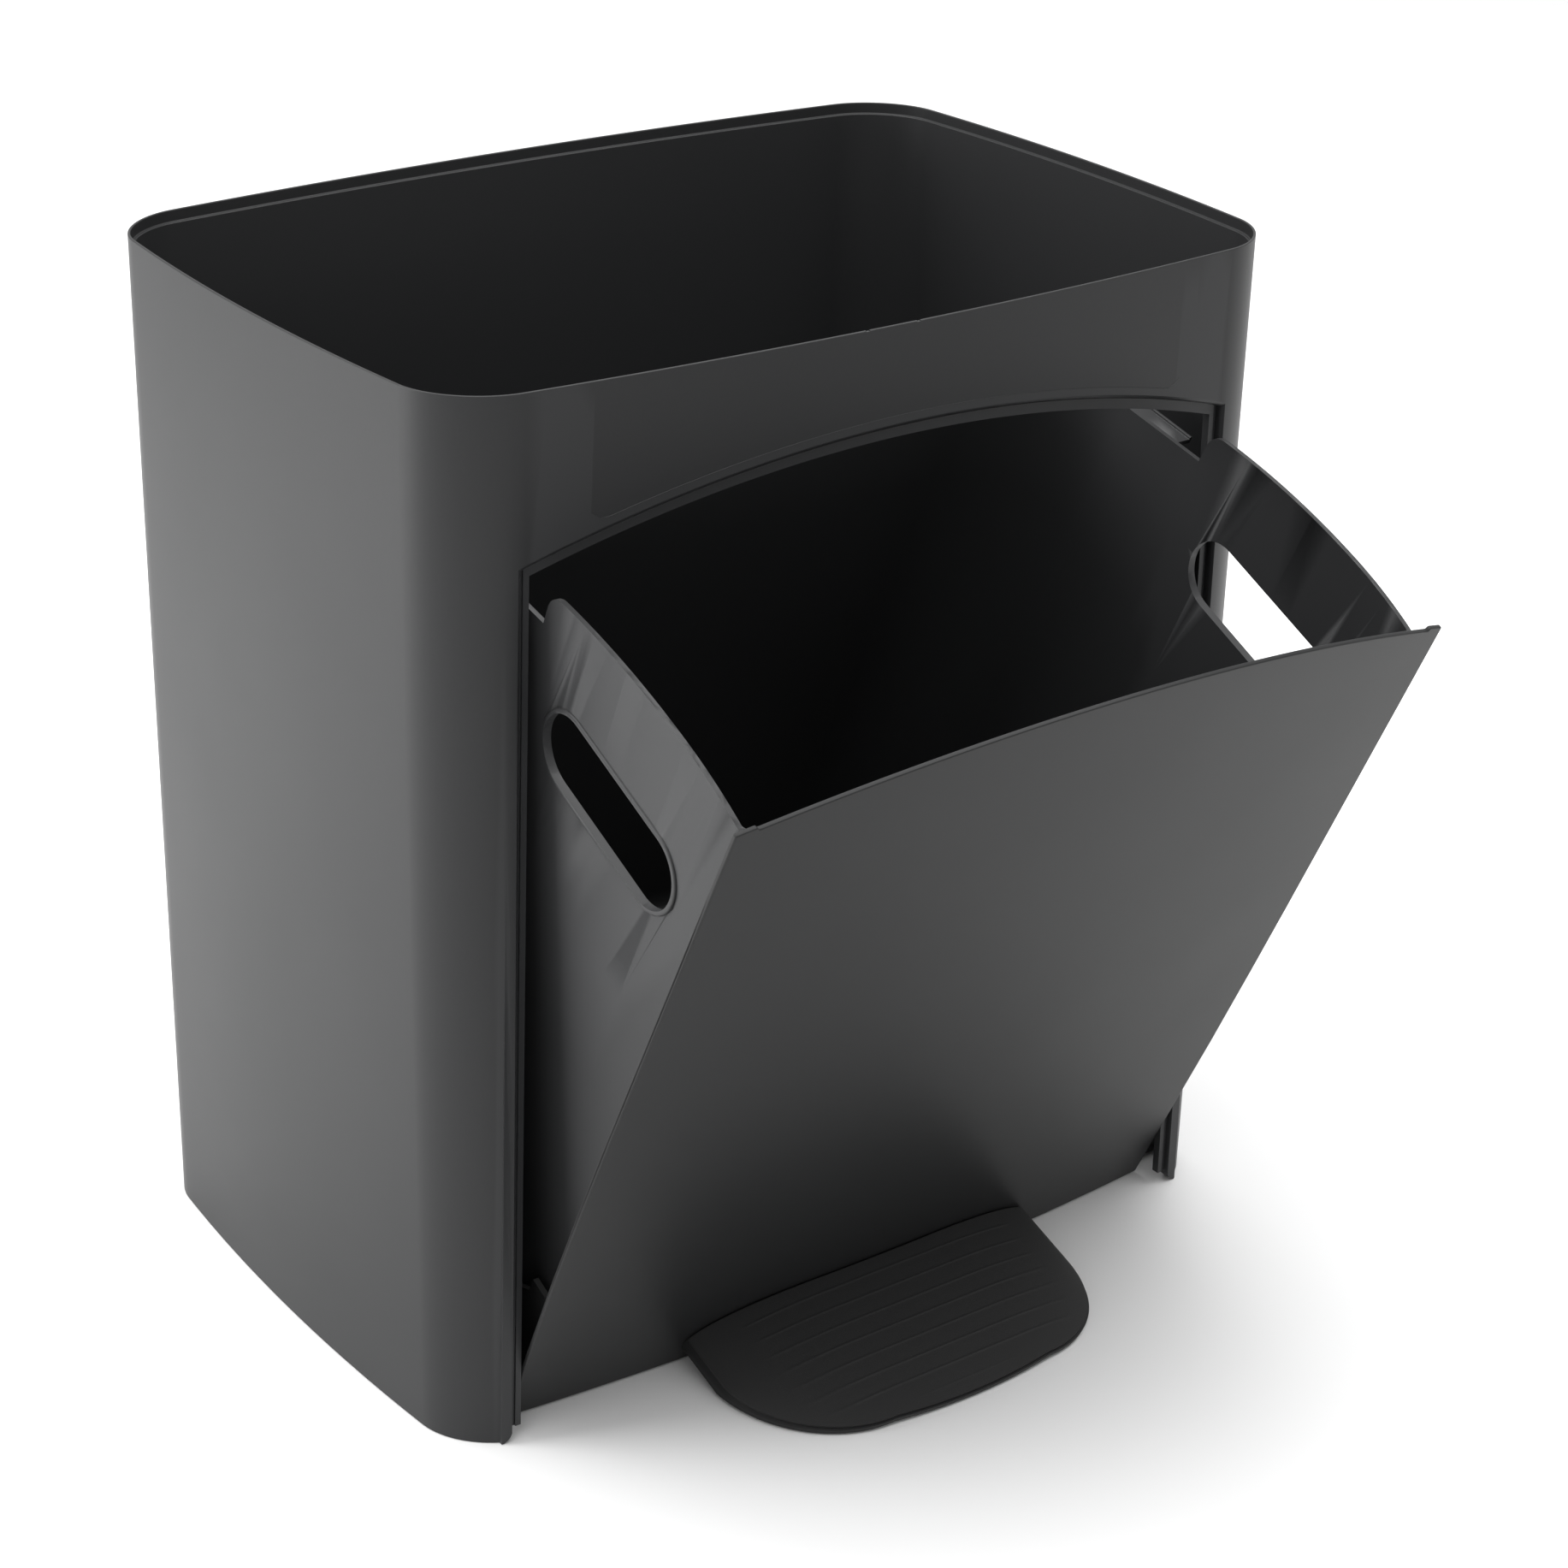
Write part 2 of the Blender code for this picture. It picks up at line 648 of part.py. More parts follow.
def make_cradle(mat, parent):
    half = CRADLE_HALF_WIDTH
    body = prism(cradle_side_outline(), -half, half, "X")
    cradle = new_object("tilt_cradle", from_pivot(body), mat, parent)
    inner = half - CRADLE_WALL
    hollow = box((-inner, CRADLE_FRONT_START - 0.01, CRADLE_BOTTOM + CRADLE_WALL), (inner, CRADLE_REAR - CRADLE_WALL, 0.2))
    cut(cradle, helper("cradle_hollow", from_pivot(hollow), parent))
    front = cradle_front_offset()
    crest = CRADLE_BOTTOM + CRADLE_FRONT_HEIGHT
    wall = arched_slab(lambda z: half, lambda x: crest, [lambda x: CRADLE_BOTTOM], front, front + CRADLE_WALL)
    join(cradle, helper("cradle_front_wall", from_pivot(wall), parent))
    join(cradle, helper("cradle_front_floor", from_pivot(cradle_lip(half, front, CRADLE_BOTTOM, CRADLE_WALL)), parent))
    for sign in (-1, 1):
        low = (half - CRADLE_WALL if sign > 0 else -half, front_y(half) + front + 0.001, CRADLE_BOTTOM)
        high = (low[0] + CRADLE_WALL, CRADLE_FRONT_START + 0.01, CRADLE_BOTTOM + CRADLE_FRONT_HEIGHT)
        join(cradle, helper("cradle_corner", from_pivot(box(low, high)), parent))
    bore = rod("X", (0, PIVOT_Y, PIVOT_Z), PIN_RADIUS + GAP, -half - 0.01, half + 0.01, 24)
    cut(cradle, helper("cradle_bore", from_pivot(bore), parent))
    for name, x in panel_screw_places().items():
        hole = screw_hole_bm("Y", (x, panel_screw_z()), front_y(x), CRADLE_FRONT_START + 0.02)
        cut(cradle, helper("cradle_screw_hole_" + name, from_pivot(hole), parent))
    return cradle


def cradle_lip(half, front, bottom, thickness):
    """The floor between the cradle's straight front edge and its bowed front wall."""
    xs = [half * (2 * i / OPENING_COLUMNS - 1) for i in range(OPENING_COLUMNS + 1)]
    outline = [(x, front_y(x) + front + 0.001) for x in xs]
    outline += [(half, CRADLE_FRONT_START + 0.01), (-half, CRADLE_FRONT_START + 0.01)]
    return prism(outline, bottom, bottom + thickness, "Z")


def bucket_plan(z, inset):
    """The bucket's outline at a height: bowed front, small front corners, large rear corners."""
    share = (z - bucket_bottom()) / (BUCKET_TOP - bucket_bottom())
    half = BUCKET_HALF_FOOT + (BUCKET_HALF_TOP - BUCKET_HALF_FOOT) * share - inset
    rear = BUCKET_REAR_FOOT + (BUCKET_REAR_TOP - BUCKET_REAR_FOOT) * share - inset
    front = BUCKET_FRONT_FOOT + (BUCKET_FRONT_TOP - BUCKET_FRONT_FOOT) * share + inset
    big = BUCKET_REAR_RADIUS - inset
    small = BUCKET_FRONT_RADIUS - inset
    corner_y = front_y(half - small) + front + small
    points = []
    flat = half - small
    for i in range(SIDE_STEPS + 1):
        x = flat * (2 * i / SIDE_STEPS - 1)
        points.append((x, front_y(x) + front))
    points += arc((flat, corner_y), small, -math.pi / 2, 0, 4)[1:]
    points += arc((half - big, rear - big), big, 0, math.pi / 2, CORNER_STEPS)
    points += arc((big - half, rear - big), big, math.pi / 2, math.pi, CORNER_STEPS)
    points += arc((-flat, corner_y), small, math.pi, 1.5 * math.pi, 4)[:-1]
    return points


def bucket_bottom():
    return CRADLE_BOTTOM + CRADLE_WALL + GAP


def rim_z(y):
    """The low rear rim slopes down to the back."""
    return REAR_RIM - math.tan(REAR_RIM_SLOPE) * (y - EAR_REAR)


def ear_z(y):
    """The ear's crown lies well forward, so its front falls away faster than its rear."""
    radius = EAR_FRONT_RADIUS if y < EAR_CROWN_Y else EAR_REAR_RADIUS
    return EAR_CROWN - radius + math.sqrt(radius ** 2 - (y - EAR_CROWN_Y) ** 2)


def rim_profile():
    """Side view of the bucket's top edge, front to back: front rim, ear, low rear rim."""
    points = [(-0.3, BUCKET_FRONT_RIM), (EAR_FRONT - 0.0015, BUCKET_FRONT_RIM), (EAR_FRONT, BUCKET_FRONT_RIM + 0.002)]
    steps = 12
    start = EAR_FRONT
    end = EAR_REAR - EAR_CORNER
    for i in range(steps + 1):
        y = start + (end - start) * i / steps
        points.append((y, ear_z(y)))
    slope = math.asin((end - EAR_CROWN_Y) / EAR_REAR_RADIUS)
    centre = (end - EAR_CORNER * math.sin(slope), ear_z(end) - EAR_CORNER * math.cos(slope))
    points += arc(centre, EAR_CORNER, math.pi / 2 - slope, 0, 5)[1:]
    foot = points[-1][0]
    points += [(foot, rim_z(foot)), (0.3, rim_z(0.3))]
    return points


def flange_path():
    """Outline points of the low rim and the outward direction at each."""
    share_z = REAR_RIM
    outline = [p for p in bucket_plan(share_z, 0) if p[1] > FLANGE_START - 0.02]
    right = [p for p in outline if p[0] > 0]
    left = [p for p in outline if p[0] <= 0]
    half = max(p[0] for p in right)
    right = [(half, FLANGE_START)] + [p for p in right if p[1] > FLANGE_START + 0.002]
    left = [p for p in left if p[1] > FLANGE_START + 0.002] + [(-half, FLANGE_START)]
    path = right + left
    normals = []
    for i, point in enumerate(path):
        before = Vector(path[max(i - 1, 0)])
        after = Vector(path[min(i + 1, len(path) - 1)])
        along = (after - before).normalized()
        normals.append(Vector((along.y, -along.x)))
    return list(zip(path, normals))


def flange_solid():
    """A strip along the low rim with a turned-up outer lip."""
    reach = FLANGE_REACH
    section = [
        (-BUCKET_WALL * 0.6, -FLANGE_THICKNESS),
        (reach, -FLANGE_THICKNESS),
        (reach, FLANGE_LIP),
        (reach - FLANGE_LIP, FLANGE_LIP),
        (reach - FLANGE_LIP, 0),
        (-BUCKET_WALL * 0.6, 0),
    ]
    rings = []
    for point, normal in flange_path():
        ring = []
        for out, up in section:
            x = point[0] + normal.x * out
            y = point[1] + normal.y * out
            ring.append((x, y, rim_z(y) + up))
        rings.append(ring)
    return ring_solid(rings, cap_ends=True)


def stadium(length, height):
    radius = height / 2
    reach = length / 2 - radius
    right = arc((HAND_HOLE_Y + reach, HAND_HOLE_Z), radius, -math.pi / 2, math.pi / 2, 10)
    left = arc((HAND_HOLE_Y - reach, HAND_HOLE_Z), radius, math.pi / 2, 1.5 * math.pi, 10)
    return right + left


def make_bucket(mat, parent):
    bottom = bucket_bottom()
    floor = bottom + BUCKET_FLOOR

    def level(z, inset, at=None):
        return [(x, y, z if at is None else at) for x, y in bucket_plan(z, inset)]

    rings = [
        level(bottom, BUCKET_HEEL * 0.6),
        level(bottom + BUCKET_HEEL, 0),
        level(BUCKET_TOP, 0),
        level(BUCKET_TOP, BUCKET_WALL),
        level(floor + BUCKET_HEEL, BUCKET_WALL),
        level(floor, BUCKET_WALL + BUCKET_HEEL * 0.6),
    ]
    bucket = new_object("bucket", from_pivot(ring_solid(rings, cap_ends=True)), mat, parent)
    above = rim_profile() + [(0.3, 0.6), (-0.3, 0.6)]
    cut(bucket, helper("rim_cut", from_pivot(prism(above, -0.3, 0.3, "X")), parent))
    join(bucket, helper("rear_flange", from_pivot(flange_solid()), parent))
    reach = bucket_side_at(HAND_HOLE_Z) + BEAD_PROUD
    for sign in (-1, 1):
        start = sign * (reach - BEAD_PROUD - BUCKET_WALL / 2)
        bead = prism(stadium(HAND_HOLE_LENGTH + 2 * BEAD_WIDTH, HAND_HOLE_HEIGHT + 2 * BEAD_WIDTH), start, sign * reach, "X")
        join(bucket, helper("hand_hole_bead", from_pivot(bead), parent))
    hole = prism(stadium(HAND_HOLE_LENGTH, HAND_HOLE_HEIGHT), -0.3, 0.3, "X")
    cut(bucket, helper("hand_hole_cut", from_pivot(hole), parent))
    return bucket


def bucket_side_at(z):
    share = (z - bucket_bottom()) / (BUCKET_TOP - bucket_bottom())
    return BUCKET_HALF_FOOT + (BUCKET_HALF_TOP - BUCKET_HALF_FOOT) * share


# ---- pedal ----


def pedal_front(x, inset):
    """Distance of the pedal's front edge ahead of the panel's middle, at x."""
    half = PEDAL_HALF_WIDTH - inset
    reach = PEDAL_REACH - inset
    flat = half - PEDAL_CORNER_WIDTH
    sweep = min(abs(x), flat)
    front = reach - (PEDAL_FRONT_RADIUS - math.sqrt(PEDAL_FRONT_RADIUS ** 2 - sweep ** 2))
    if abs(x) > flat:
        share = min((abs(x) - flat) / PEDAL_CORNER_WIDTH, 1.0)
        front -= PEDAL_CORNER_DEPTH * (1 - math.sqrt(1 - share ** 2))
    return front


def pedal_crown(x):
    """How far the pedal's top falls away at its rounded sides."""
    over = max(abs(x) - PEDAL_CROWN_FLAT, 0) / (PEDAL_HALF_WIDTH - PEDAL_CROWN_FLAT)
    return PEDAL_CROWN_DROP * (1 - math.sqrt(max(1 - min(over, 1) ** 2, 0)))


def pedal_z(x, ahead):
    return PEDAL_TOP + math.tan(PEDAL_RISE) * ahead - pedal_crown(x)


def pedal_shell(inset, down_top, down_bottom):
    half = PEDAL_HALF_WIDTH - inset
    columns = 32
    grid = []
    for i in range(columns + 1):
        x = half * math.sin(math.pi * (i / columns - 0.5))
        rear = -front_y(x) + GAP + inset
        front = HALF_DEPTH + pedal_front(x, inset)
        ring = []
        for y in (rear, front):
            ring.append((x, -y, pedal_z(x, y - HALF_DEPTH) - down_top))
        for y in (front, rear):
            ring.append((x, -y, pedal_z(x, y - HALF_DEPTH) - down_bottom))
        grid.append(ring)
    return ring_solid(grid, cap_ends=True)


def make_pedal(mat, parent):
    shell = pedal_shell(0, TREAD_THICKNESS + GAP, TREAD_THICKNESS + GAP + PEDAL_THICKNESS)
    pedal = new_object("pedal", from_pivot(shell), mat, parent)
    top = PEDAL_TOP - TREAD_THICKNESS - GAP - PEDAL_THICKNESS / 2
    flange = arched_slab(lambda z: PEDAL_FLANGE_HALF_WIDTH, lambda x: top - pedal_crown(x), [lambda x: PEDAL_FLANGE_BOTTOM],
                         -GAP - PEDAL_FLANGE_THICKNESS, -GAP, columns=16)
    join(pedal, helper("pedal_flange", from_pivot(flange), parent))
    for index in (-1, 0, 1):
        join(pedal, helper("pedal_rib", from_pivot(pedal_rib(index * PEDAL_RIB_SPACING)), parent))
    for name, x in pedal_screw_places().items():
        hole = screw_hole_bm("Y", (x, pedal_screw_z()), front_y(x) - GAP - 0.0045, front_y(x) + 0.01)
        cut(pedal, helper("pedal_hole_" + name, from_pivot(hole), parent))
    return pedal


def pedal_rib(x):
    """A wedge under the pedal, from the flange to the front."""
    rear = -front_y(x) + GAP + PEDAL_FLANGE_THICKNESS / 2
    front = rear + PEDAL_RIB_REACH
    drop = TREAD_THICKNESS + GAP + PEDAL_THICKNESS / 2
    outline = [
        (-rear, pedal_z(x, rear - HALF_DEPTH) - drop - PEDAL_RIB_HEIGHT),
        (-rear, pedal_z(x, rear - HALF_DEPTH) - drop),
        (-front, pedal_z(x, front - HALF_DEPTH) - drop),
        (-front, pedal_z(x, front - HALF_DEPTH) - drop - PEDAL_THICKNESS),
    ]
    return prism(outline, x - PEDAL_RIB_THICKNESS / 2, x + PEDAL_RIB_THICKNESS / 2, "X")


def make_tread(mat, parent):
    new_object("pedal_tread", from_pivot(pedal_shell(TREAD_INSET, 0, TREAD_THICKNESS)), mat, parent)


def open_reach():
    """How far the front panel's crown stands ahead of the casing's middle when the bin is open."""
    ahead = HALF_DEPTH + PIVOT_Y
    above = ARCH_CROWN - PANEL_TOP_CLEARANCE - PIVOT_Z
    return ahead * math.cos(OPEN_ANGLE) + above * math.sin(OPEN_ANGLE) - PIVOT_Y


def empty(name, location, tilt, parent):
    obj = bpy.data.objects.new(name, None)
    bpy.context.scene.collection.objects.link(obj)
    obj.location = location
    obj.rotation_euler = (tilt, 0, 0)
    obj.parent = parent
    return obj


def main():
    clear_scene()
    casing_plastic = material("casing_plastic", (0.045, 0.046, 0.048), 0.42)
    panel_plastic = material("panel_plastic", (0.045, 0.046, 0.048), 0.38)
    bucket_plastic = material("bucket_plastic", (0.040, 0.041, 0.043), 0.45)
    hidden_plastic = material("structural_plastic", (0.020, 0.020, 0.021), 0.5)
    pedal_plastic = material("pedal_plastic", (0.020, 0.020, 0.021), 0.5)
    rubber = material("rubber", (0.014, 0.014, 0.014), 0.75)
    bush_plastic = material("bush_plastic", (0.030, 0.030, 0.031), 0.4)
    steel = material("zinc_steel", (0.55, 0.55, 0.56), 0.35, 1.0)
    # The origin is on the floor, below the middle of the open bin.
    stand = empty("bin_stand", (0, (open_reach() - HALF_DEPTH) / 2, 0), 0, None)
    pivot = empty("tilt_pivot", (0, PIVOT_Y, PIVOT_Z), OPEN_ANGLE, stand)
    make_casing(casing_plastic, stand)
    make_base_tray(hidden_plastic, stand)
    make_base_screws(steel, stand)
    make_pads(rubber, stand)
    for side, sign in (("left", -1), ("right", 1)):
        make_bracket(side, sign, hidden_plastic, stand)
        make_bracket_screws(side, sign, steel, stand)
        make_bush(side, sign, bush_plastic, stand)
        make_pin(side, sign, steel, pivot)
    make_panel(panel_plastic, pivot)
    make_cradle(hidden_plastic, pivot)
    make_panel_screws(steel, pivot)
    make_bucket(bucket_plastic, pivot)
    make_pedal(pedal_plastic, pivot)
    make_tread(rubber, pivot)
    make_pedal_screws(steel, pivot)


main()
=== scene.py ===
# %% [markdown]
# # A pedal-operated tilt-out waste bin
#
# The real object is an open-topped bin of dark grey moulded plastic. A bucket stands on a cradle
# inside it, and a pedal on the front panel tips bucket and panel forwards on two pivots. The bin is
# shown tipped open. The imported model gives every size and both bodies, so it is loaded first.

# %% Load the imported model
import json
import math

import bmesh
import bpy
from mathutils import Matrix, Vector


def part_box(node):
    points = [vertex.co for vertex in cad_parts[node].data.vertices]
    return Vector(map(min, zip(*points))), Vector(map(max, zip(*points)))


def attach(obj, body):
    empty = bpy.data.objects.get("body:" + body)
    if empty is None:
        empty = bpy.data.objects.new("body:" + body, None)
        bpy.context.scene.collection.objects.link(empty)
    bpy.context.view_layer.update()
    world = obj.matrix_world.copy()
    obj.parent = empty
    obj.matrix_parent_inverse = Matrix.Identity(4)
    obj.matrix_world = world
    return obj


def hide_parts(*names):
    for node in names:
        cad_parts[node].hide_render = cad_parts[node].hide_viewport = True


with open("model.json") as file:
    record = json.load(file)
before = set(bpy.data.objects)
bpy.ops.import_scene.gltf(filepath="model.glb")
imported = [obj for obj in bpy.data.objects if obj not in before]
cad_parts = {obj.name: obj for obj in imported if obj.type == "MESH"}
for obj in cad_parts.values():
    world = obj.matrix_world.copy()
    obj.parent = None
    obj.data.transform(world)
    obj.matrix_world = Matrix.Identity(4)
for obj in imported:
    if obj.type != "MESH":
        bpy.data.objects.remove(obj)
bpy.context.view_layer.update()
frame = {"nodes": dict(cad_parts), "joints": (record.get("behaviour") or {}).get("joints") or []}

# %% [markdown]
# ## Reference sizes
#
# The casing node's box gives the bin's half width, half depth and height, and the hinge's own row
# gives the pivot axis and the tip angle. The finer sizes are margins from these. Everything that
# tips is modelled upright, as in the shut bin, and then turned forwards about the pivot, because an
# upright bucket is far easier to describe than a leaning one.

# %% Sizes from the casing and the hinge
casing_low, casing_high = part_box("casing")
MIDDLE_Y = (casing_low[1] + casing_high[1]) / 2
HALF_WIDTH = (casing_high[0] - casing_low[0]) / 2
HALF_DEPTH = (casing_high[1] - casing_low[1]) / 2
HEIGHT = casing_high[2]
hinge = frame["joints"][0]
PIVOT_Y = hinge["pos_m"][1] - MIDDLE_Y
PIVOT_Z = hinge["pos_m"][2]
TIP_ANGLE = math.radians(max(hinge["range_deg"]))
GAP = 0.0003
print("half width, half depth, height:", HALF_WIDTH, HALF_DEPTH, HEIGHT)
print("pivot:", PIVOT_Y, PIVOT_Z, "tip angle:", math.degrees(TIP_ANGLE))

# %% [markdown]
# ## Bowed walls
#
# Large flat walls of moulded plastic look sunken, so the real bin's walls swell a little between the
# corners. One function bows a plain rounded rectangle, and another says where the front face lies at
# any distance from the middle, because the panel, the bucket and the pedal all follow that curve.

# %% Plan of the casing
CORNER_RADIUS = 0.038
FRONT_BOW = 0.0125
SIDE_BOW = 0.0095
WALL = 0.0032
CORNER_STEPS = 20
SIDE_STEPS = 36


def bowed(x, y):
    return (
        x * (1 - SIDE_BOW / HALF_WIDTH * (y / HALF_DEPTH) ** 2),
        y * (1 - FRONT_BOW / HALF_DEPTH * (x / HALF_WIDTH) ** 2),
    )


def front_y(x):
    """Where the casing's front face lies at x, measured from the casing's middle."""
    y = -HALF_DEPTH
    for _ in range(5):
        flat_x = x / (1 - SIDE_BOW / HALF_WIDTH * (y / HALF_DEPTH) ** 2)
        y = -HALF_DEPTH * (1 - FRONT_BOW / HALF_DEPTH * (flat_x / HALF_WIDTH) ** 2)
    return y


def arc(centre, radius, start, end, steps):
    angles = [start + (end - start) * i / steps for i in range(steps + 1)]
    return [(centre[0] + radius * math.cos(a), centre[1] + radius * math.sin(a)) for a in angles]


def between(start, end, steps):
    shares = [i / steps for i in range(1, steps)]
    return [(start[0] + (end[0] - start[0]) * t, start[1] + (end[1] - start[1]) * t) for t in shares]


def casing_plan(inset):
    """The casing's outline drawn in by inset, anticlockwise from the front right."""
    a = HALF_WIDTH - inset
    b = HALF_DEPTH - inset
    r = CORNER_RADIUS - inset
    points = []
    corners = ((a - r, r - b, -90), (a - r, b - r, 0), (r - a, b - r, 90), (r - a, r - b, 180))
    for x, y, begin in corners:
        begin = math.radians(begin)
        corner = arc((x, y), r, begin, begin + math.pi / 2, CORNER_STEPS)
        if points:
            points += between(points[-1], corner[0], SIDE_STEPS)
        points += corner
    points += between(points[-1], points[0], SIDE_STEPS)
    return [bowed(x, y) for x, y in points]


print("front face at the middle and at the jambs:", round(front_y(0), 4), round(front_y(0.2), 4))

# %% [markdown]
# ## Arched opening
#
# The front opening has nearly upright jambs and a shallow arched head. Three pieces are cut along the
# same outline, so it is one function of an inset. A slab that follows the bowed face between two
# depths then makes every cutter, and the front panel as well.

# %% Outline of the opening and the slab that follows it
ARCH_CROWN = HEIGHT - 0.050
ARCH_RADIUS = 2.736 * HALF_WIDTH
JAMB_TOP = HEIGHT - 0.081
OPENING_FOOT = HALF_WIDTH - 0.0354
JAMB_LEAN = 0.0087


def opening_half(z):
    return OPENING_FOOT - JAMB_LEAN * z / JAMB_TOP


def arch_z(x):
    return ARCH_CROWN - ARCH_RADIUS + math.sqrt(ARCH_RADIUS ** 2 - x ** 2)


def ring_solid(rings, cap_ends=False):
    """Skin over rings of equal length: capped at both ends, or closed on itself."""
    bm = bmesh.new()
    rows = [[bm.verts.new(p) for p in ring] for ring in rings]
    pairs = list(zip(rows, rows[1:]))
    if not cap_ends:
        pairs.append((rows[-1], rows[0]))
    count = len(rows[0])
    for low, high in pairs:
        for i in range(count):
            j = (i + 1) % count
            bm.faces.new((low[i], low[j], high[j], high[i]))
    if cap_ends:
        bm.faces.new(rows[0])
        bm.faces.new(rows[-1])
    return bm


def front_slab(half, foot, head, front, back, columns=96, heights=(0.08, 0.16, 0.24, 0.32, 0.40)):
    """A slab behind the bowed face: half(z) wide, from foot(x) up to head(x)."""
    rings = []
    for i in range(columns + 1):
        share = 2 * i / columns - 1
        low = foot(share * half(0.0))
        high = head(share * half(JAMB_TOP))
        levels = [low] + [z for z in heights if low + 0.01 < z < high - 0.01] + [high]
        near = [(share * half(z), z) for z in levels]
        ring = [(x, front_y(x) + front, z) for x, z in near]
        ring += [(x, front_y(x) + back, z) for x, z in reversed(near)]
        rings.append(ring)
    return ring_solid(rings, cap_ends=True)


def opening_slab(inset, foot, front, back, head_inset=None):
    """The opening drawn in by inset at the jambs, and by head_inset, or the same, at the arch."""
    head = inset if head_inset is None else head_inset
    return front_slab(
        lambda z: opening_half(z) - inset,
        lambda x: foot,
        lambda x: arch_z(x) - head,
        front,
        back,
    )


def opening_outline(inset, foot, depth, columns=96):
    """The opening's closed outline at one depth: foot, right jamb, head, left jamb."""
    shares = [2 * i / columns - 1 for i in range(columns + 1)]
    foot_half = opening_half(foot) - inset
    head_half = opening_half(JAMB_TOP) - inset
    low = [(share * foot_half, foot) for share in shares]
    high = [(share * head_half, arch_z(share * head_half) - inset) for share in shares]
    points = low + between(low[-1], high[-1], 8) + high[::-1] + between(high[0], low[0], 8)
    return [(x, front_y(x) + depth, z) for x, z in points]


def flared_slab(profile, foot):
    """A slab with the opening's outline whose inset changes with depth: profile is (inset, depth) pairs."""
    return ring_solid([opening_outline(inset, foot, depth) for inset, depth in profile], cap_ends=True)


print("opening half width at the floor and at the head:", opening_half(0), opening_half(JAMB_TOP))

# %% [markdown]
# ## Turning shapes into pieces
#
# A piece starts as a bmesh. Booleans then cut it or join to it, a bevel rounds what they leave sharp,
# and the result is fixed as one mesh, so that nothing but the finished piece is left in the scene.
# Faces are shaded smooth, apart from real edges.

# %% Helpers that build a piece


def linked_object(name, bm):
    bmesh.ops.remove_doubles(bm, verts=bm.verts, dist=1e-7)
    bmesh.ops.recalc_face_normals(bm, faces=bm.faces)
    mesh = bpy.data.meshes.new(name)
    bm.to_mesh(mesh)
    bm.free()
    obj = bpy.data.objects.new(name, mesh)
    bpy.context.scene.collection.objects.link(obj)
    return obj


def fix_modifiers(obj):
    """Keeps what the modifiers make as the object's own mesh."""
    graph = bpy.context.evaluated_depsgraph_get()
    made = bpy.data.meshes.new_from_object(obj.evaluated_get(graph))
    obj.modifiers.clear()
    obj.data = made
    made.name = obj.name


def work(obj, steps):
    """Cuts and joins: steps is a list of ("DIFFERENCE" or "UNION", bmesh)."""
    for operation, bm in steps:
        tool = linked_object("tool", bm)
        mod = obj.modifiers.new("work", "BOOLEAN")
        mod.operation = operation
        mod.solver = "EXACT"
        mod.object = tool
        fix_modifiers(obj)
        bpy.data.objects.remove(tool, do_unlink=True)


def round_edges(obj, width, angle=50.0, segments=3):
    mod = obj.modifiers.new("round", "BEVEL")
    mod.width = width
    mod.segments = segments
    mod.limit_method = "ANGLE"
    mod.angle_limit = math.radians(angle)
    mod.use_clamp_overlap = True
    mod.miter_outer = "MITER_ARC"
    fix_modifiers(obj)


def finish_surface(obj, sharp=20.0):
    """Smooth shading that leans on the large faces, so that the roundings don't smear over them."""
    obj.data.shade_smooth()
    obj.data.set_sharp_from_angle(angle=math.radians(sharp))
    mod = obj.modifiers.new("shading", "WEIGHTED_NORMAL")
    mod.keep_sharp = True
    mod.weight = 80
    fix_modifiers(obj)
    print(obj.name, "faces:", len(obj.data.polygons))


def box_bm(low, high):
    outline = [(low[0], low[1]), (high[0], low[1]), (high[0], high[1]), (low[0], high[1])]
    return ring_solid([[(x, y, z) for x, y in outline] for z in (low[2], high[2])], cap_ends=True)


def along_x(outline, start, end):
    """A (y, z) outline pushed from start to end along X."""
    return ring_solid([[(x, y, z) for y, z in outline] for x in (start, end)], cap_ends=True)


def stand(obj):
    """Moves a piece from the casing's middle to its place."""
    obj.data.transform(Matrix.Translation((0, MIDDLE_Y, 0)))
    return obj


def tip(obj):
    """Turns an upright piece forwards about the pivot, then moves it to its place."""
    to_pivot = Matrix.Translation((0, -PIVOT_Y, -PIVOT_Z))
    turn = Matrix.Rotation(TIP_ANGLE, 4, "X")
    back = Matrix.Translation((0, PIVOT_Y + MIDDLE_Y, PIVOT_Z))
    obj.data.transform(back @ turn @ to_pivot)
    return obj


# %% [markdown]
# ## Moulded plastic
#
# The bin is satin polypropylene with a fine spark-eroded grain. A very fine noise drives a shallow
# bump, and a broad and weak noise varies the roughness, as handling and mould wear do. The edges are
# painted a touch paler: a painted highlight, where rounded edges catch the light. Noise on Object
# coordinates needs no unwrapping, and it stays on the piece when the piece tips.

# %% Plastic finishes


def node(tree, kind, **settings):
    made = tree.nodes.new(kind)
    for key, value in settings.items():
        setattr(made, key, value)
    return made


def noise(tree, place, scale, detail=3.0):
    made = node(tree, "ShaderNodeTexNoise")
    made.inputs["Scale"].default_value = scale
    made.inputs["Detail"].default_value = detail
    tree.links.new(place, made.inputs["Vector"])
    return made.outputs["Fac"]


def spread(tree, value, low, high):
    """Maps 0..1 to low..high."""
    made = node(tree, "ShaderNodeMapRange")
    made.inputs["To Min"].default_value = low
    made.inputs["To Max"].default_value = high
    tree.links.new(value, made.inputs["Value"])
    return made.outputs["Result"]
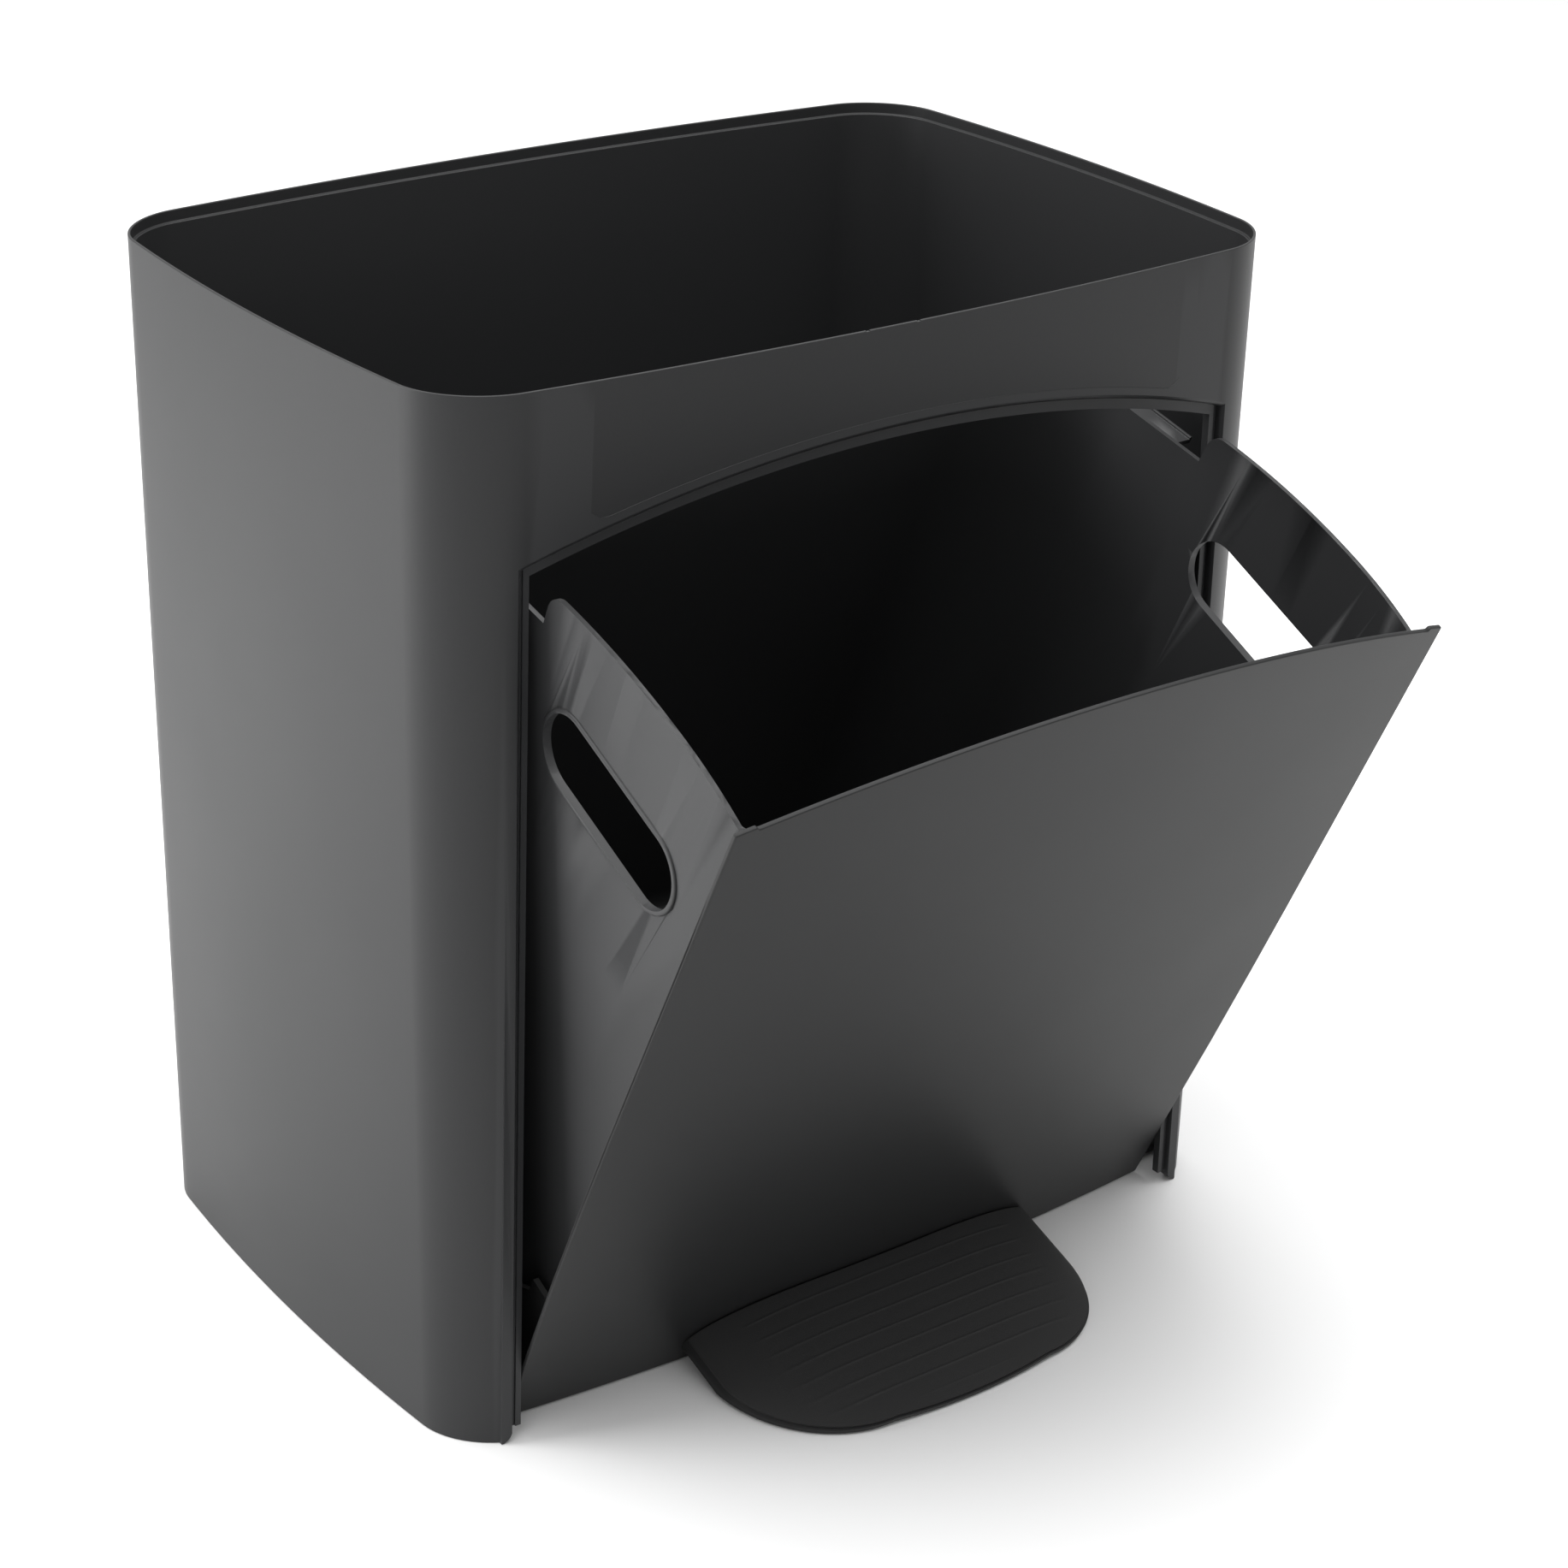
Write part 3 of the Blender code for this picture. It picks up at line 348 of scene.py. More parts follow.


# The edge factor sets how much paler the convex edges are painted: a painted highlight.
def moulded_plastic(name, colour, roughness, grain=0.06, edge_highlight=1.35, specular=0.32):
    mat = bpy.data.materials.new(name)
    mat.use_nodes = True
    tree = mat.node_tree
    shader = tree.nodes["Principled BSDF"]
    shader.inputs["Specular IOR Level"].default_value = specular
    place = node(tree, "ShaderNodeTexCoord").outputs["Object"]
    patches = noise(tree, place, 9.0)
    rough = spread(tree, patches, roughness - 0.03, roughness + 0.03)
    tree.links.new(rough, shader.inputs["Roughness"])
    speck = noise(tree, place, 620.0, 2.0)
    shade = node(tree, "ShaderNodeMix", data_type="RGBA")
    shade.inputs["A"].default_value = (*[c * 0.94 for c in colour], 1.0)
    shade.inputs["B"].default_value = (*[c * 1.06 for c in colour], 1.0)
    tree.links.new(speck, shade.inputs["Factor"])
    # Painted highlight: convex edges, found by pointiness, are mixed towards a paler colour.
    edge = node(tree, "ShaderNodeNewGeometry").outputs["Pointiness"]
    edge_highlight_mask = node(tree, "ShaderNodeMapRange")
    edge_highlight_mask.inputs["From Min"].default_value = 0.53
    edge_highlight_mask.inputs["From Max"].default_value = 0.60
    tree.links.new(edge, edge_highlight_mask.inputs["Value"])
    edge_highlight_mix = node(tree, "ShaderNodeMix", data_type="RGBA")
    edge_highlight_mix.inputs["B"].default_value = (*[c * edge_highlight for c in colour], 1.0)
    tree.links.new(edge_highlight_mask.outputs["Result"], edge_highlight_mix.inputs["Factor"])
    tree.links.new(shade.outputs["Result"], edge_highlight_mix.inputs["A"])
    tree.links.new(edge_highlight_mix.outputs["Result"], shader.inputs["Base Color"])
    bump = node(tree, "ShaderNodeBump")
    bump.inputs["Strength"].default_value = grain
    bump.inputs["Distance"].default_value = 0.0004
    tree.links.new(noise(tree, place, 1500.0, 2.0), bump.inputs["Height"])
    tree.links.new(bump.outputs["Normal"], shader.inputs["Normal"])
    return mat


casing_plastic = moulded_plastic("casing_plastic", (0.0200, 0.0204, 0.0212), 0.42, specular=0.29)
panel_plastic = moulded_plastic("panel_plastic", (0.0175, 0.0178, 0.0182), 0.40, specular=0.20)
bucket_plastic = moulded_plastic("bucket_plastic", (0.0250, 0.0254, 0.0263), 0.46)
pedal_plastic = moulded_plastic("pedal_plastic", (0.0105, 0.0105, 0.0108), 0.58)
structural_plastic = moulded_plastic("structural_plastic", (0.012, 0.012, 0.012), 0.55)
bush_plastic = moulded_plastic("bush_plastic", (0.030, 0.030, 0.031), 0.38, grain=0.02, edge_highlight=1.1)
plastics = (
    casing_plastic, panel_plastic, bucket_plastic, pedal_plastic, structural_plastic, bush_plastic,
)
print("plastic finishes:", len(plastics))

# %% [markdown]
# ## Rubber and steel
#
# The tread and the pads are matt rubber, rougher and more mottled than the plastic. The screws and
# the pivot pins are zinc-plated steel: a metal whose roughness wanders with the plating.

# %% Rubber and steel finishes
rubber = moulded_plastic("rubber", (0.0120, 0.0120, 0.0122), 0.66, grain=0.22, edge_highlight=1.15, specular=0.45)


def plated_steel(name):
    mat = bpy.data.materials.new(name)
    mat.use_nodes = True
    tree = mat.node_tree
    shader = tree.nodes["Principled BSDF"]
    shader.inputs["Metallic"].default_value = 1.0
    place = node(tree, "ShaderNodeTexCoord").outputs["Object"]
    cloud = noise(tree, place, 400.0)
    tree.links.new(spread(tree, cloud, 0.25, 0.42), shader.inputs["Roughness"])
    tint = node(tree, "ShaderNodeMix", data_type="RGBA")
    tint.inputs["A"].default_value = (0.50, 0.50, 0.51, 1.0)
    tint.inputs["B"].default_value = (0.62, 0.62, 0.60, 1.0)
    tree.links.new(cloud, tint.inputs["Factor"])
    tree.links.new(tint.outputs["Result"], shader.inputs["Base Color"])
    return mat


steel = plated_steel("zinc_steel")
print("other finishes:", rubber.name, steel.name)

# %% [markdown]
# ## Casing
#
# The casing is one injection moulding with four walls and no top or floor. Its upper rim steps down
# from the full wall to a thin lip, which is what catches the light. The wall's section is written as
# (inset, height) pairs with the roundings in it and skinned round the plan. The opening is cut with
# the arched slab, after a thicker frame is joined on behind it.

# %% Casing walls and rim
LIP_WALL = 0.0016
LIP_HEIGHT = 0.006
RIM_ROUND = 0.0006
FOOT_CHAMFER = 0.0006
STEP_CHAMFER = 0.0004


def casing_section():
    """(inset, height) pairs of the wall, up the outside and down the inside."""
    top = HEIGHT
    step = HEIGHT - LIP_HEIGHT
    centre = (0.0, top - RIM_ROUND)
    outside = arc(centre, RIM_ROUND, 0, math.pi / 2, 4)
    inside = arc(centre, RIM_ROUND, math.pi / 2, math.pi, 4)
    section = [(FOOT_CHAMFER, 0.0), (0.0, FOOT_CHAMFER)]
    section += [(0.0, z) for z in (0.09, 0.18, 0.27, 0.36, 0.45)]
    section += [(RIM_ROUND - x, z) for x, z in outside]
    section += [(LIP_WALL - RIM_ROUND - x, z) for x, z in inside]
    section += [(LIP_WALL, step + STEP_CHAMFER), (LIP_WALL + STEP_CHAMFER, step)]
    section += [(WALL - STEP_CHAMFER, step), (WALL, step - STEP_CHAMFER)]
    section += [(WALL, FOOT_CHAMFER), (WALL - FOOT_CHAMFER, 0.0)]
    return section


casing_rings = [[(x, y, z) for x, y in casing_plan(inset)] for inset, z in casing_section()]
casing = linked_object("casing_shell", ring_solid(casing_rings))
print("casing section points:", len(casing_section()))

# %% [markdown]
# ## Rebate round the opening
#
# When the bin is shut, the panel lies in a shallow rebate. Seen from the front, there is the casing's
# rounded edge, a lip, and then the opening. A narrow gutter runs between edge and lip at the jambs.
# The frame is a slab joined behind the face. It is cut down to the gutter's floor, the lip is joined
# back on, and the opening is cut through last. The cutter for the rebate flares out at the face, which
# leaves the rounded edge.

# %% Frame, rebate, gutter and opening
FRAME_WALL = 0.0030
REBATE_DEPTH = 0.0040
LEDGE_WIDTH = 0.0057
LEDGE_WALL = 0.0045
GUTTER_WIDTH = 0.0027
GUTTER_FLOOR = 0.0050
FRAME_DEPTH = REBATE_DEPTH + LEDGE_WALL
EDGE_ROUND = 0.0030


def rebate_profile():
    """(inset, depth) of the rebate's cutter: straight in front, rounded at the face, then straight."""
    turns = [math.radians(a) for a in (12, 28, 44, 60, 76, 90)]
    curve = [(EDGE_ROUND * (math.sin(a) - 1), EDGE_ROUND * (1 - math.cos(a))) for a in turns]
    return [(curve[0][0], -0.02)] + curve + [(0.0, GUTTER_FLOOR)]


work(casing, [
    ("UNION", opening_slab(-FRAME_WALL - EDGE_ROUND, 0.0004, WALL / 2, FRAME_DEPTH)),
    ("DIFFERENCE", flared_slab(rebate_profile(), -0.02)),
    ("UNION", opening_slab(GUTTER_WIDTH, 0.0007, REBATE_DEPTH, FRAME_DEPTH - 0.0004, head_inset=-0.0010)),
    ("DIFFERENCE", opening_slab(LEDGE_WIDTH, -0.03, -0.03, FRAME_DEPTH + 0.03)),
])
print("casing faces after the opening:", len(casing.data.polygons))

# %% [markdown]
# ## Small marks of the moulding
#
# Three small things make the casing look moulded, not drawn: the feet of the two jambs are rounded, a
# faint witness line, such as a mould's insert leaves, runs above the arch and turns up at its ends,
# and the front rim has two tiny nicks.

# %% Rounded feet, witness line and nicks
FOOT_ROUND = 0.0070
WITNESS_RISE = 0.0064
WITNESS_END = 0.172
WITNESS_CURL = 0.010
WITNESS_WIDTH = 0.0007
WITNESS_PROUD = 0.00016
WITNESS_TURN = 0.006
WITNESS_STEPS = 120
NICK_PLACES = (-0.027, 0.002)
NICK_HALF = 0.0011
NICK_DEPTH = 0.0005


def foot_cutter(sign):
    """Rounds the lower inner corner of one jamb."""
    edge = opening_half(0)
    curve = arc((edge + FOOT_ROUND, FOOT_ROUND), FOOT_ROUND, 1.5 * math.pi, math.pi, 10)
    outline = [(edge - 0.02, -0.01), (edge + FOOT_ROUND, -0.01)] + curve + [(edge - 0.02, FOOT_ROUND)]
    face = front_y(edge)
    depths = (face - 0.02, face + 0.016)
    return ring_solid([[(sign * x, y, z) for x, z in outline] for y in depths], cap_ends=True)


def witness_ridge():
    """A hair-thin ridge on the front face, just above the arch."""
    rings = []
    for i in range(WITNESS_STEPS + 1):
        x = WITNESS_END * (2 * i / WITNESS_STEPS - 1)
        curl = max(abs(x) - (WITNESS_END - WITNESS_CURL), 0) / WITNESS_CURL
        z = arch_z(x) + WITNESS_RISE + WITNESS_TURN * curl ** 2
        y = front_y(x)
        rings.append([
            (x, y + 0.0004, z - WITNESS_WIDTH / 2),
            (x, y - WITNESS_PROUD, z),
            (x, y + 0.0004, z + WITNESS_WIDTH / 2),
        ])
    return ring_solid(rings, cap_ends=True)


work(casing, [("DIFFERENCE", foot_cutter(-1)), ("DIFFERENCE", foot_cutter(1)), ("UNION", witness_ridge())])
for x in NICK_PLACES:
    y = front_y(x)
    low = (x - NICK_HALF, y - 0.002, HEIGHT - NICK_DEPTH)
    high = (x + NICK_HALF, y + 0.004, HEIGHT + 0.002)
    work(casing, [("DIFFERENCE", box_bm(low, high))])
round_edges(casing, 0.0005, angle=60.0, segments=2)
finish_surface(casing)
casing.data.materials.append(casing_plastic)
stand(casing)
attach(casing, "casing_body")
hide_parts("casing")

# %% [markdown]
# ## Front panel
#
# The panel is a thin bowed sheet with the arch's curve along its top and a small tab at each upper
# corner. Its lower edge is cut so that it hangs level, just clear of the floor, when it is tipped.
# It is the same slab as the opening, a little smaller all round.

# %% Front panel
PANEL_THICKNESS = 0.0025
PANEL_HALF_WIDTH = HALF_WIDTH - 0.0408
PANEL_SIDE_CLEARANCE = 0.0012
PANEL_TOP_CLEARANCE = 0.0028
PANEL_FLOOR_CLEARANCE = 0.0011
HEEL_HEIGHT = 0.140
HEEL_INSET = 0.0030
TAB_HEIGHT = 0.0018
TAB_WIDTH = 0.011


def panel_half(z):
    heel = HEEL_INSET * max(1 - z / HEEL_HEIGHT, 0)
    return min(opening_half(z) - PANEL_SIDE_CLEARANCE, PANEL_HALF_WIDTH) - heel


def panel_foot(x):
    drop = (PIVOT_Y - front_y(x)) * math.sin(TIP_ANGLE)
    return PIVOT_Z - (PIVOT_Z - PANEL_FLOOR_CLEARANCE - drop) / math.cos(TIP_ANGLE)


def panel_head(x):
    edge = opening_half(JAMB_TOP) - PANEL_SIDE_CLEARANCE
    start = edge - TAB_WIDTH
    rise = min(max((abs(x) - start) / 0.0012, 0), 1)
    return arch_z(x) - PANEL_TOP_CLEARANCE + TAB_HEIGHT * rise


panel = linked_object(
    "front_panel_shell",
    front_slab(panel_half, panel_foot, panel_head, 0.0, PANEL_THICKNESS, columns=340,
               heights=(0.06, 0.10, 0.14, 0.20, 0.25, 0.30, 0.36, 0.42)),
)
round_edges(panel, 0.0008, angle=60.0, segments=3)

# %% [markdown]
# ## Screw bosses of the panel
#
# Four bosses on the panel's back take the screws that hold it to the cradle. They are turned round an
# axis along Y and joined on, then drilled, as the mould's core pins would leave them.

# %% Bosses, and holes for the pedal's screws
BOSS_RADIUS = 0.006
BOSS_LENGTH = 0.0075
SCREW_HOLE = 0.0021
BOSS_EDGE = 0.0492
BOSS_INNER = 0.055
PEDAL_SCREW_X = 0.078
CRADLE_LOW = 0.0260
CRADLE_WALL = 0.0030
BOSS_Z = CRADLE_LOW + CRADLE_WALL + 0.020
PEDAL_TOP = 0.0640
PEDAL_SCREW_Z = (0.0335 + PEDAL_TOP) / 2 - 0.003


def rod_y(x, z, radius, start, end, sides=32):
    circle = arc((x, z), radius, 0, 2 * math.pi * (sides - 1) / sides, sides - 1)
    return ring_solid([[(u, y, v) for u, v in circle] for y in (start, end)], cap_ends=True)


for x in (BOSS_EDGE - PANEL_HALF_WIDTH, -BOSS_INNER, BOSS_INNER, PANEL_HALF_WIDTH - BOSS_EDGE):
    face = front_y(x)
    end = face + PANEL_THICKNESS + BOSS_LENGTH - 0.0004
    work(panel, [
        ("UNION", rod_y(x, BOSS_Z, BOSS_RADIUS, face + PANEL_THICKNESS / 2, end)),
        ("DIFFERENCE", rod_y(x, BOSS_Z, SCREW_HOLE, face + PANEL_THICKNESS, end + 0.01)),
    ])
for x in (-PEDAL_SCREW_X, PEDAL_SCREW_X):
    work(panel, [("DIFFERENCE", rod_y(x, PEDAL_SCREW_Z, SCREW_HOLE, front_y(x) - 0.01, front_y(x) + 0.02))])
finish_surface(panel)
panel.data.materials.append(panel_plastic)
tip(panel)
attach(panel, "tipping_body")
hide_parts("front_panel")

# %% [markdown]
# ## Bucket
#
# The bucket is a deep draught-angled tub: small corners against the panel, big round ones at the
# back. It is skinned from level outlines, with its heel rounded at the floor, and then its top edge
# is cut to a side view: a front rim behind the panel, two tall ears, and a low rim at the back.

# %% Bucket walls
BUCKET_WALL = 0.0025
BUCKET_FLOOR = 0.0030
BUCKET_TOP = HEIGHT - 0.070
BUCKET_BOTTOM = CRADLE_LOW + CRADLE_WALL + GAP
HALF_TOP = HALF_WIDTH - 0.0538
HALF_FOOT = HALF_WIDTH - 0.0640
REAR_TOP = HALF_DEPTH - 0.055
REAR_FOOT = HALF_DEPTH - 0.075
FRONT_TOP = 0.0055
FRONT_FOOT = 0.0182
REAR_RADIUS = 0.060
FRONT_RADIUS = 0.005
HEEL_ROUND = 0.010
HEEL_DRAW = 0.0045


def bucket_side(z):
    return HALF_FOOT + (HALF_TOP - HALF_FOOT) * (z - BUCKET_BOTTOM) / (BUCKET_TOP - BUCKET_BOTTOM)


def bucket_plan(z, inset):
    share = (z - BUCKET_BOTTOM) / (BUCKET_TOP - BUCKET_BOTTOM)
    half = bucket_side(z) - inset
    rear = REAR_FOOT + (REAR_TOP - REAR_FOOT) * share - inset
    front = FRONT_FOOT + (FRONT_TOP - FRONT_FOOT) * share + inset
    big = REAR_RADIUS - inset
    small = FRONT_RADIUS - inset * 0.8
    corner_y = front_y(half - small) + front + small
    flat = half - small
    points = []
    for i in range(61):
        x = flat * (2 * i / 60 - 1)
        points.append((x, front_y(x) + front))
    points += arc((flat, corner_y), small, -math.pi / 2, 0, 6)[1:]
    points += between(points[-1], (half, rear - big), 14)
    points += arc((half - big, rear - big), big, 0, math.pi / 2, 24)
    points += between(points[-1], (big - half, rear), 24)
    points += arc((big - half, rear - big), big, math.pi / 2, math.pi, 24)
    points += between(points[-1], (-half, corner_y), 14)
    points += arc((-flat, corner_y), small, math.pi, 1.5 * math.pi, 6)[:-1]
    return points


def bucket_rings():
    def level(z, inset):
        return [(x, y, z) for x, y in bucket_plan(z, inset)]

    rings = []
    for step in range(7):
        angle = math.pi / 2 * step / 6
        lift = HEEL_ROUND * (1 - math.cos(angle))
        rings.append(level(BUCKET_BOTTOM + lift, HEEL_DRAW * (1 - math.sin(angle))))
    rings += [level(z, 0) for z in (0.12, 0.21, 0.30, 0.38, BUCKET_TOP)]
    rings += [level(z, BUCKET_WALL) for z in (BUCKET_TOP, 0.38, 0.30, 0.21, 0.12)]
    for step in range(7):
        angle = math.pi / 2 * (6 - step) / 6
        lift = HEEL_ROUND * (1 - math.cos(angle))
        inset = BUCKET_WALL + HEEL_DRAW * (1 - math.sin(angle))
        rings.append(level(BUCKET_BOTTOM + BUCKET_FLOOR + lift, inset))
    return rings


bucket = linked_object("bucket_shell", ring_solid(bucket_rings(), cap_ends=True))
print("bucket rings:", len(bucket_rings()))

# %% [markdown]
# ## Ears and rims of the bucket
#
# Each ear is a broad arc whose crown lies well forward, with a rounded rear corner. The cutter is
# that side view, closed above the bucket and pushed through it from side to side.

# %% Cutting the top edge
FRONT_RIM = HEIGHT - 0.099
EAR_FRONT = 0.0145 - HALF_DEPTH
EAR_REAR = 0.173 - HALF_DEPTH
EAR_CROWN = HEIGHT - 0.0857
EAR_CROWN_Y = 0.063 - HALF_DEPTH
EAR_REAR_RADIUS = 0.470
EAR_FRONT_RADIUS = 0.250
EAR_CORNER = 0.011
REAR_RIM = HEIGHT - 0.1175
REAR_SLOPE = math.tan(math.radians(12.0))


def rear_rim_z(y):
    return REAR_RIM - REAR_SLOPE * (y - EAR_REAR)


def ear_z(y):
    radius = EAR_FRONT_RADIUS if y < EAR_CROWN_Y else EAR_REAR_RADIUS
    return EAR_CROWN - radius + math.sqrt(radius ** 2 - (y - EAR_CROWN_Y) ** 2)


def top_edge():
    """Side view of the bucket's top edge, front to back."""
    points = [(-0.3, FRONT_RIM), (EAR_FRONT - 0.0015, FRONT_RIM), (EAR_FRONT, FRONT_RIM + 0.002)]
    end = EAR_REAR - EAR_CORNER
    for i in range(41):
        y = EAR_FRONT + (end - EAR_FRONT) * i / 40
        points.append((y, ear_z(y)))
    slope = math.asin((end - EAR_CROWN_Y) / EAR_REAR_RADIUS)
    centre = (end - EAR_CORNER * math.sin(slope), ear_z(end) - EAR_CORNER * math.cos(slope))
    points += arc(centre, EAR_CORNER, math.pi / 2 - slope, 0, 14)[1:]
    foot = points[-1][0]
    points += [(foot, rear_rim_z(foot)), (0.3, rear_rim_z(0.3))]
    return points


work(bucket, [("DIFFERENCE", along_x(top_edge() + [(0.3, 0.6), (-0.3, 0.6)], -0.3, 0.3))])
print("top edge points:", len(top_edge()))

# %% [markdown]
# ## Flange of the low rim
#
# The low rear rim is stiffened by a flange with a turned-up lip. Its section is swept along the
# bucket's outline at that height, following the slope of the rim.

# %% Flange
FLANGE_REACH = 0.0088
FLANGE_THICKNESS = 0.0025
FLANGE_LIP = 0.0015
FLANGE_START = 0.189 - HALF_DEPTH


def flange_path():
    outline = bucket_plan(REAR_RIM, 0)
    half = bucket_side(REAR_RIM)
    kept = [p for p in outline if p[1] > FLANGE_START + 0.002]
    path = [(half, FLANGE_START)] + kept + [(-half, FLANGE_START)]
    sides = []
    for i, point in enumerate(path):
        before = Vector(path[max(i - 1, 0)])
        after = Vector(path[min(i + 1, len(path) - 1)])
        run = (after - before).normalized()
        sides.append((point, Vector((run.y, -run.x))))
    return sides


def flange_bm():
    reach = FLANGE_REACH
    inner = -BUCKET_WALL * 0.6
    section = [
        (inner, -FLANGE_THICKNESS),
        (reach - 0.0003, -FLANGE_THICKNESS),
        (reach, 0.0003 - FLANGE_THICKNESS),
        (reach, FLANGE_LIP - 0.0003),
        (reach - 0.0003, FLANGE_LIP),
        (reach - FLANGE_LIP + 0.0003, FLANGE_LIP),
        (reach - FLANGE_LIP, FLANGE_LIP - 0.0003),
        (reach - FLANGE_LIP, 0.0003),
        (reach - FLANGE_LIP - 0.0003, 0.0),
        (inner, 0.0),
    ]
    rings = []
    for point, side in flange_path():
        ring = []
        for out, up in section:
            y = point[1] + side.y * out
            ring.append((point[0] + side.x * out, y, rear_rim_z(y) + up))
        rings.append(ring)
    return ring_solid(rings, cap_ends=True)


work(bucket, [("UNION", flange_bm())])
print("flange stations:", len(flange_path()))

# %% [markdown]
# ## Hand holes
#
# Each ear has a long round-ended hand hole with a raised bead round it. The bead is a stack of
# shrinking outlines, so that its edge is rounded, and the hole is one cutter through both ears.

# %% Beads and hand holes
HOLE_Y = 0.0945 - HALF_DEPTH
HOLE_Z = HEIGHT - 0.1605
HOLE_LENGTH = 0.1085
HOLE_HEIGHT = 0.0385
BEAD_WIDTH = 0.0024
BEAD_PROUD = 0.0014
BEAD_ROUND = 0.0010
SLOT_DEPTH = 0.0014
SLOT_HALF = 0.0010
SLOT_LOW = HEIGHT - 0.107
SLOT_HIGH = HEIGHT - 0.093
SLOT_Y = 0.0145 - HALF_DEPTH


def stadium(grow):
    radius = HOLE_HEIGHT / 2 + grow
    reach = HOLE_LENGTH / 2 - HOLE_HEIGHT / 2
    front = arc((HOLE_Y + reach, HOLE_Z), radius, -math.pi / 2, math.pi / 2, 28)
    back = arc((HOLE_Y - reach, HOLE_Z), radius, math.pi / 2, 1.5 * math.pi, 28)
    return front + back


def bead_bm(sign):
    side = bucket_side(HOLE_Z)
    rings = [[(sign * (side - BUCKET_WALL / 2), y, z) for y, z in stadium(BEAD_WIDTH)]]
    for step in range(5):
        angle = math.pi / 2 * step / 4
        x = side + BEAD_PROUD - BEAD_ROUND * (1 - math.sin(angle))
        grow = BEAD_WIDTH - BEAD_ROUND * (1 - math.cos(angle))
        rings.append([(sign * x, y, z) for y, z in stadium(grow)])
    return ring_solid(rings, cap_ends=True)


def slot_cutter(sign):
    """A narrow slot in the bucket's side, just behind the panel's upper corner."""
    side = bucket_side(SLOT_HIGH)
    ends = sorted((sign * (side - SLOT_DEPTH), sign * (side + 0.01)))
    low = (ends[0], SLOT_Y - SLOT_HALF, SLOT_LOW)
    high = (ends[1], SLOT_Y + SLOT_HALF, SLOT_HIGH)
    return box_bm(low, high)


work(bucket, [
    ("UNION", bead_bm(-1)),
    ("UNION", bead_bm(1)),
    ("DIFFERENCE", along_x(stadium(0.0), -0.3, 0.3)),
    ("DIFFERENCE", slot_cutter(-1)),
    ("DIFFERENCE", slot_cutter(1)),
])
round_edges(bucket, 0.0009, angle=60.0, segments=3)
finish_surface(bucket)
bucket.data.materials.append(bucket_plastic)
tip(bucket)
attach(bucket, "tipping_body")
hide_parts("bucket")

# %% [markdown]
# ## Pedal
#
# The pedal is a broad rounded shelf screwed to the panel's foot. Its sides fall away in a soft crown.
# The top is laid out as a grid over its outline, and the same grid, lowered by the sheet's
# thickness, closes it below.

# %% Pedal outline
PEDAL_HALF = 0.1107
PEDAL_REACH = 0.0960
PEDAL_RISE = math.radians(7.0)
SWEEP_RADIUS = 0.337
CORNER_WIDTH = 0.060
CORNER_DEPTH = 0.062
CROWN_FLAT = 0.038
CROWN_DROP = 0.0205
PEDAL_THICKNESS = 0.0026
TREAD_THICKNESS = 0.0018
TREAD_INSET = 0.0012


def pedal_front(x, inset):
    """How far the pedal's front edge stands ahead of the panel's middle, at x."""
    flat = PEDAL_HALF - inset - CORNER_WIDTH
    sweep = min(abs(x), flat)
    front = PEDAL_REACH - inset - (SWEEP_RADIUS - math.sqrt(SWEEP_RADIUS ** 2 - sweep ** 2))
    if abs(x) > flat:
        share = min((abs(x) - flat) / CORNER_WIDTH, 1.0)
        front -= CORNER_DEPTH * (1 - math.sqrt(1 - share ** 2))
    return front


def pedal_z(x, ahead):
    over = max(abs(x) - CROWN_FLAT, 0) / (PEDAL_HALF - CROWN_FLAT)
    drop = CROWN_DROP * (1 - math.sqrt(max(1 - min(over, 1) ** 2, 0)))
    return PEDAL_TOP + math.tan(PEDAL_RISE) * ahead - drop


def pedal_sheet(inset, top_drop, bottom_drop, relief=None, rows=6, columns=120):
    """A sheet over the pedal's outline; relief adds height along its depth."""
    half = PEDAL_HALF - inset
    rings = []
    for i in range(columns + 1):
        x = half * math.sin(math.pi * (i / columns - 0.5))
        rear = -front_y(x) + GAP + inset
        front = HALF_DEPTH + pedal_front(x, inset)
        depths = [rear + (front - rear) * j / rows for j in range(rows + 1)]
        ring = []
        for y in depths:
            lift = relief(x, y - HALF_DEPTH, front - HALF_DEPTH) if relief else 0.0
            ring.append((x, -y, pedal_z(x, y - HALF_DEPTH) - top_drop + lift))
        for y in reversed(depths):
            ring.append((x, -y, pedal_z(x, y - HALF_DEPTH) - bottom_drop))
        rings.append(ring)
    return ring_solid(rings, cap_ends=True)


print("pedal width and reach:", 2 * PEDAL_HALF, PEDAL_REACH)

# %% [markdown]
# ## Pedal body, ribs and flange
#
# Under the sheet, three wedge ribs carry the load of a foot back to a flange, and the flange lies
# flat on the panel, where two screws hold it.

# %% Pedal body
FLANGE_HALF = 0.092
FLANGE_LOW = 0.0335
FLANGE_PLATE = 0.0055
RIB_SPACING = 0.045
RIB_REACH = 0.060
RIB_HEIGHT = 0.0120
RIB_THICKNESS = 0.0030

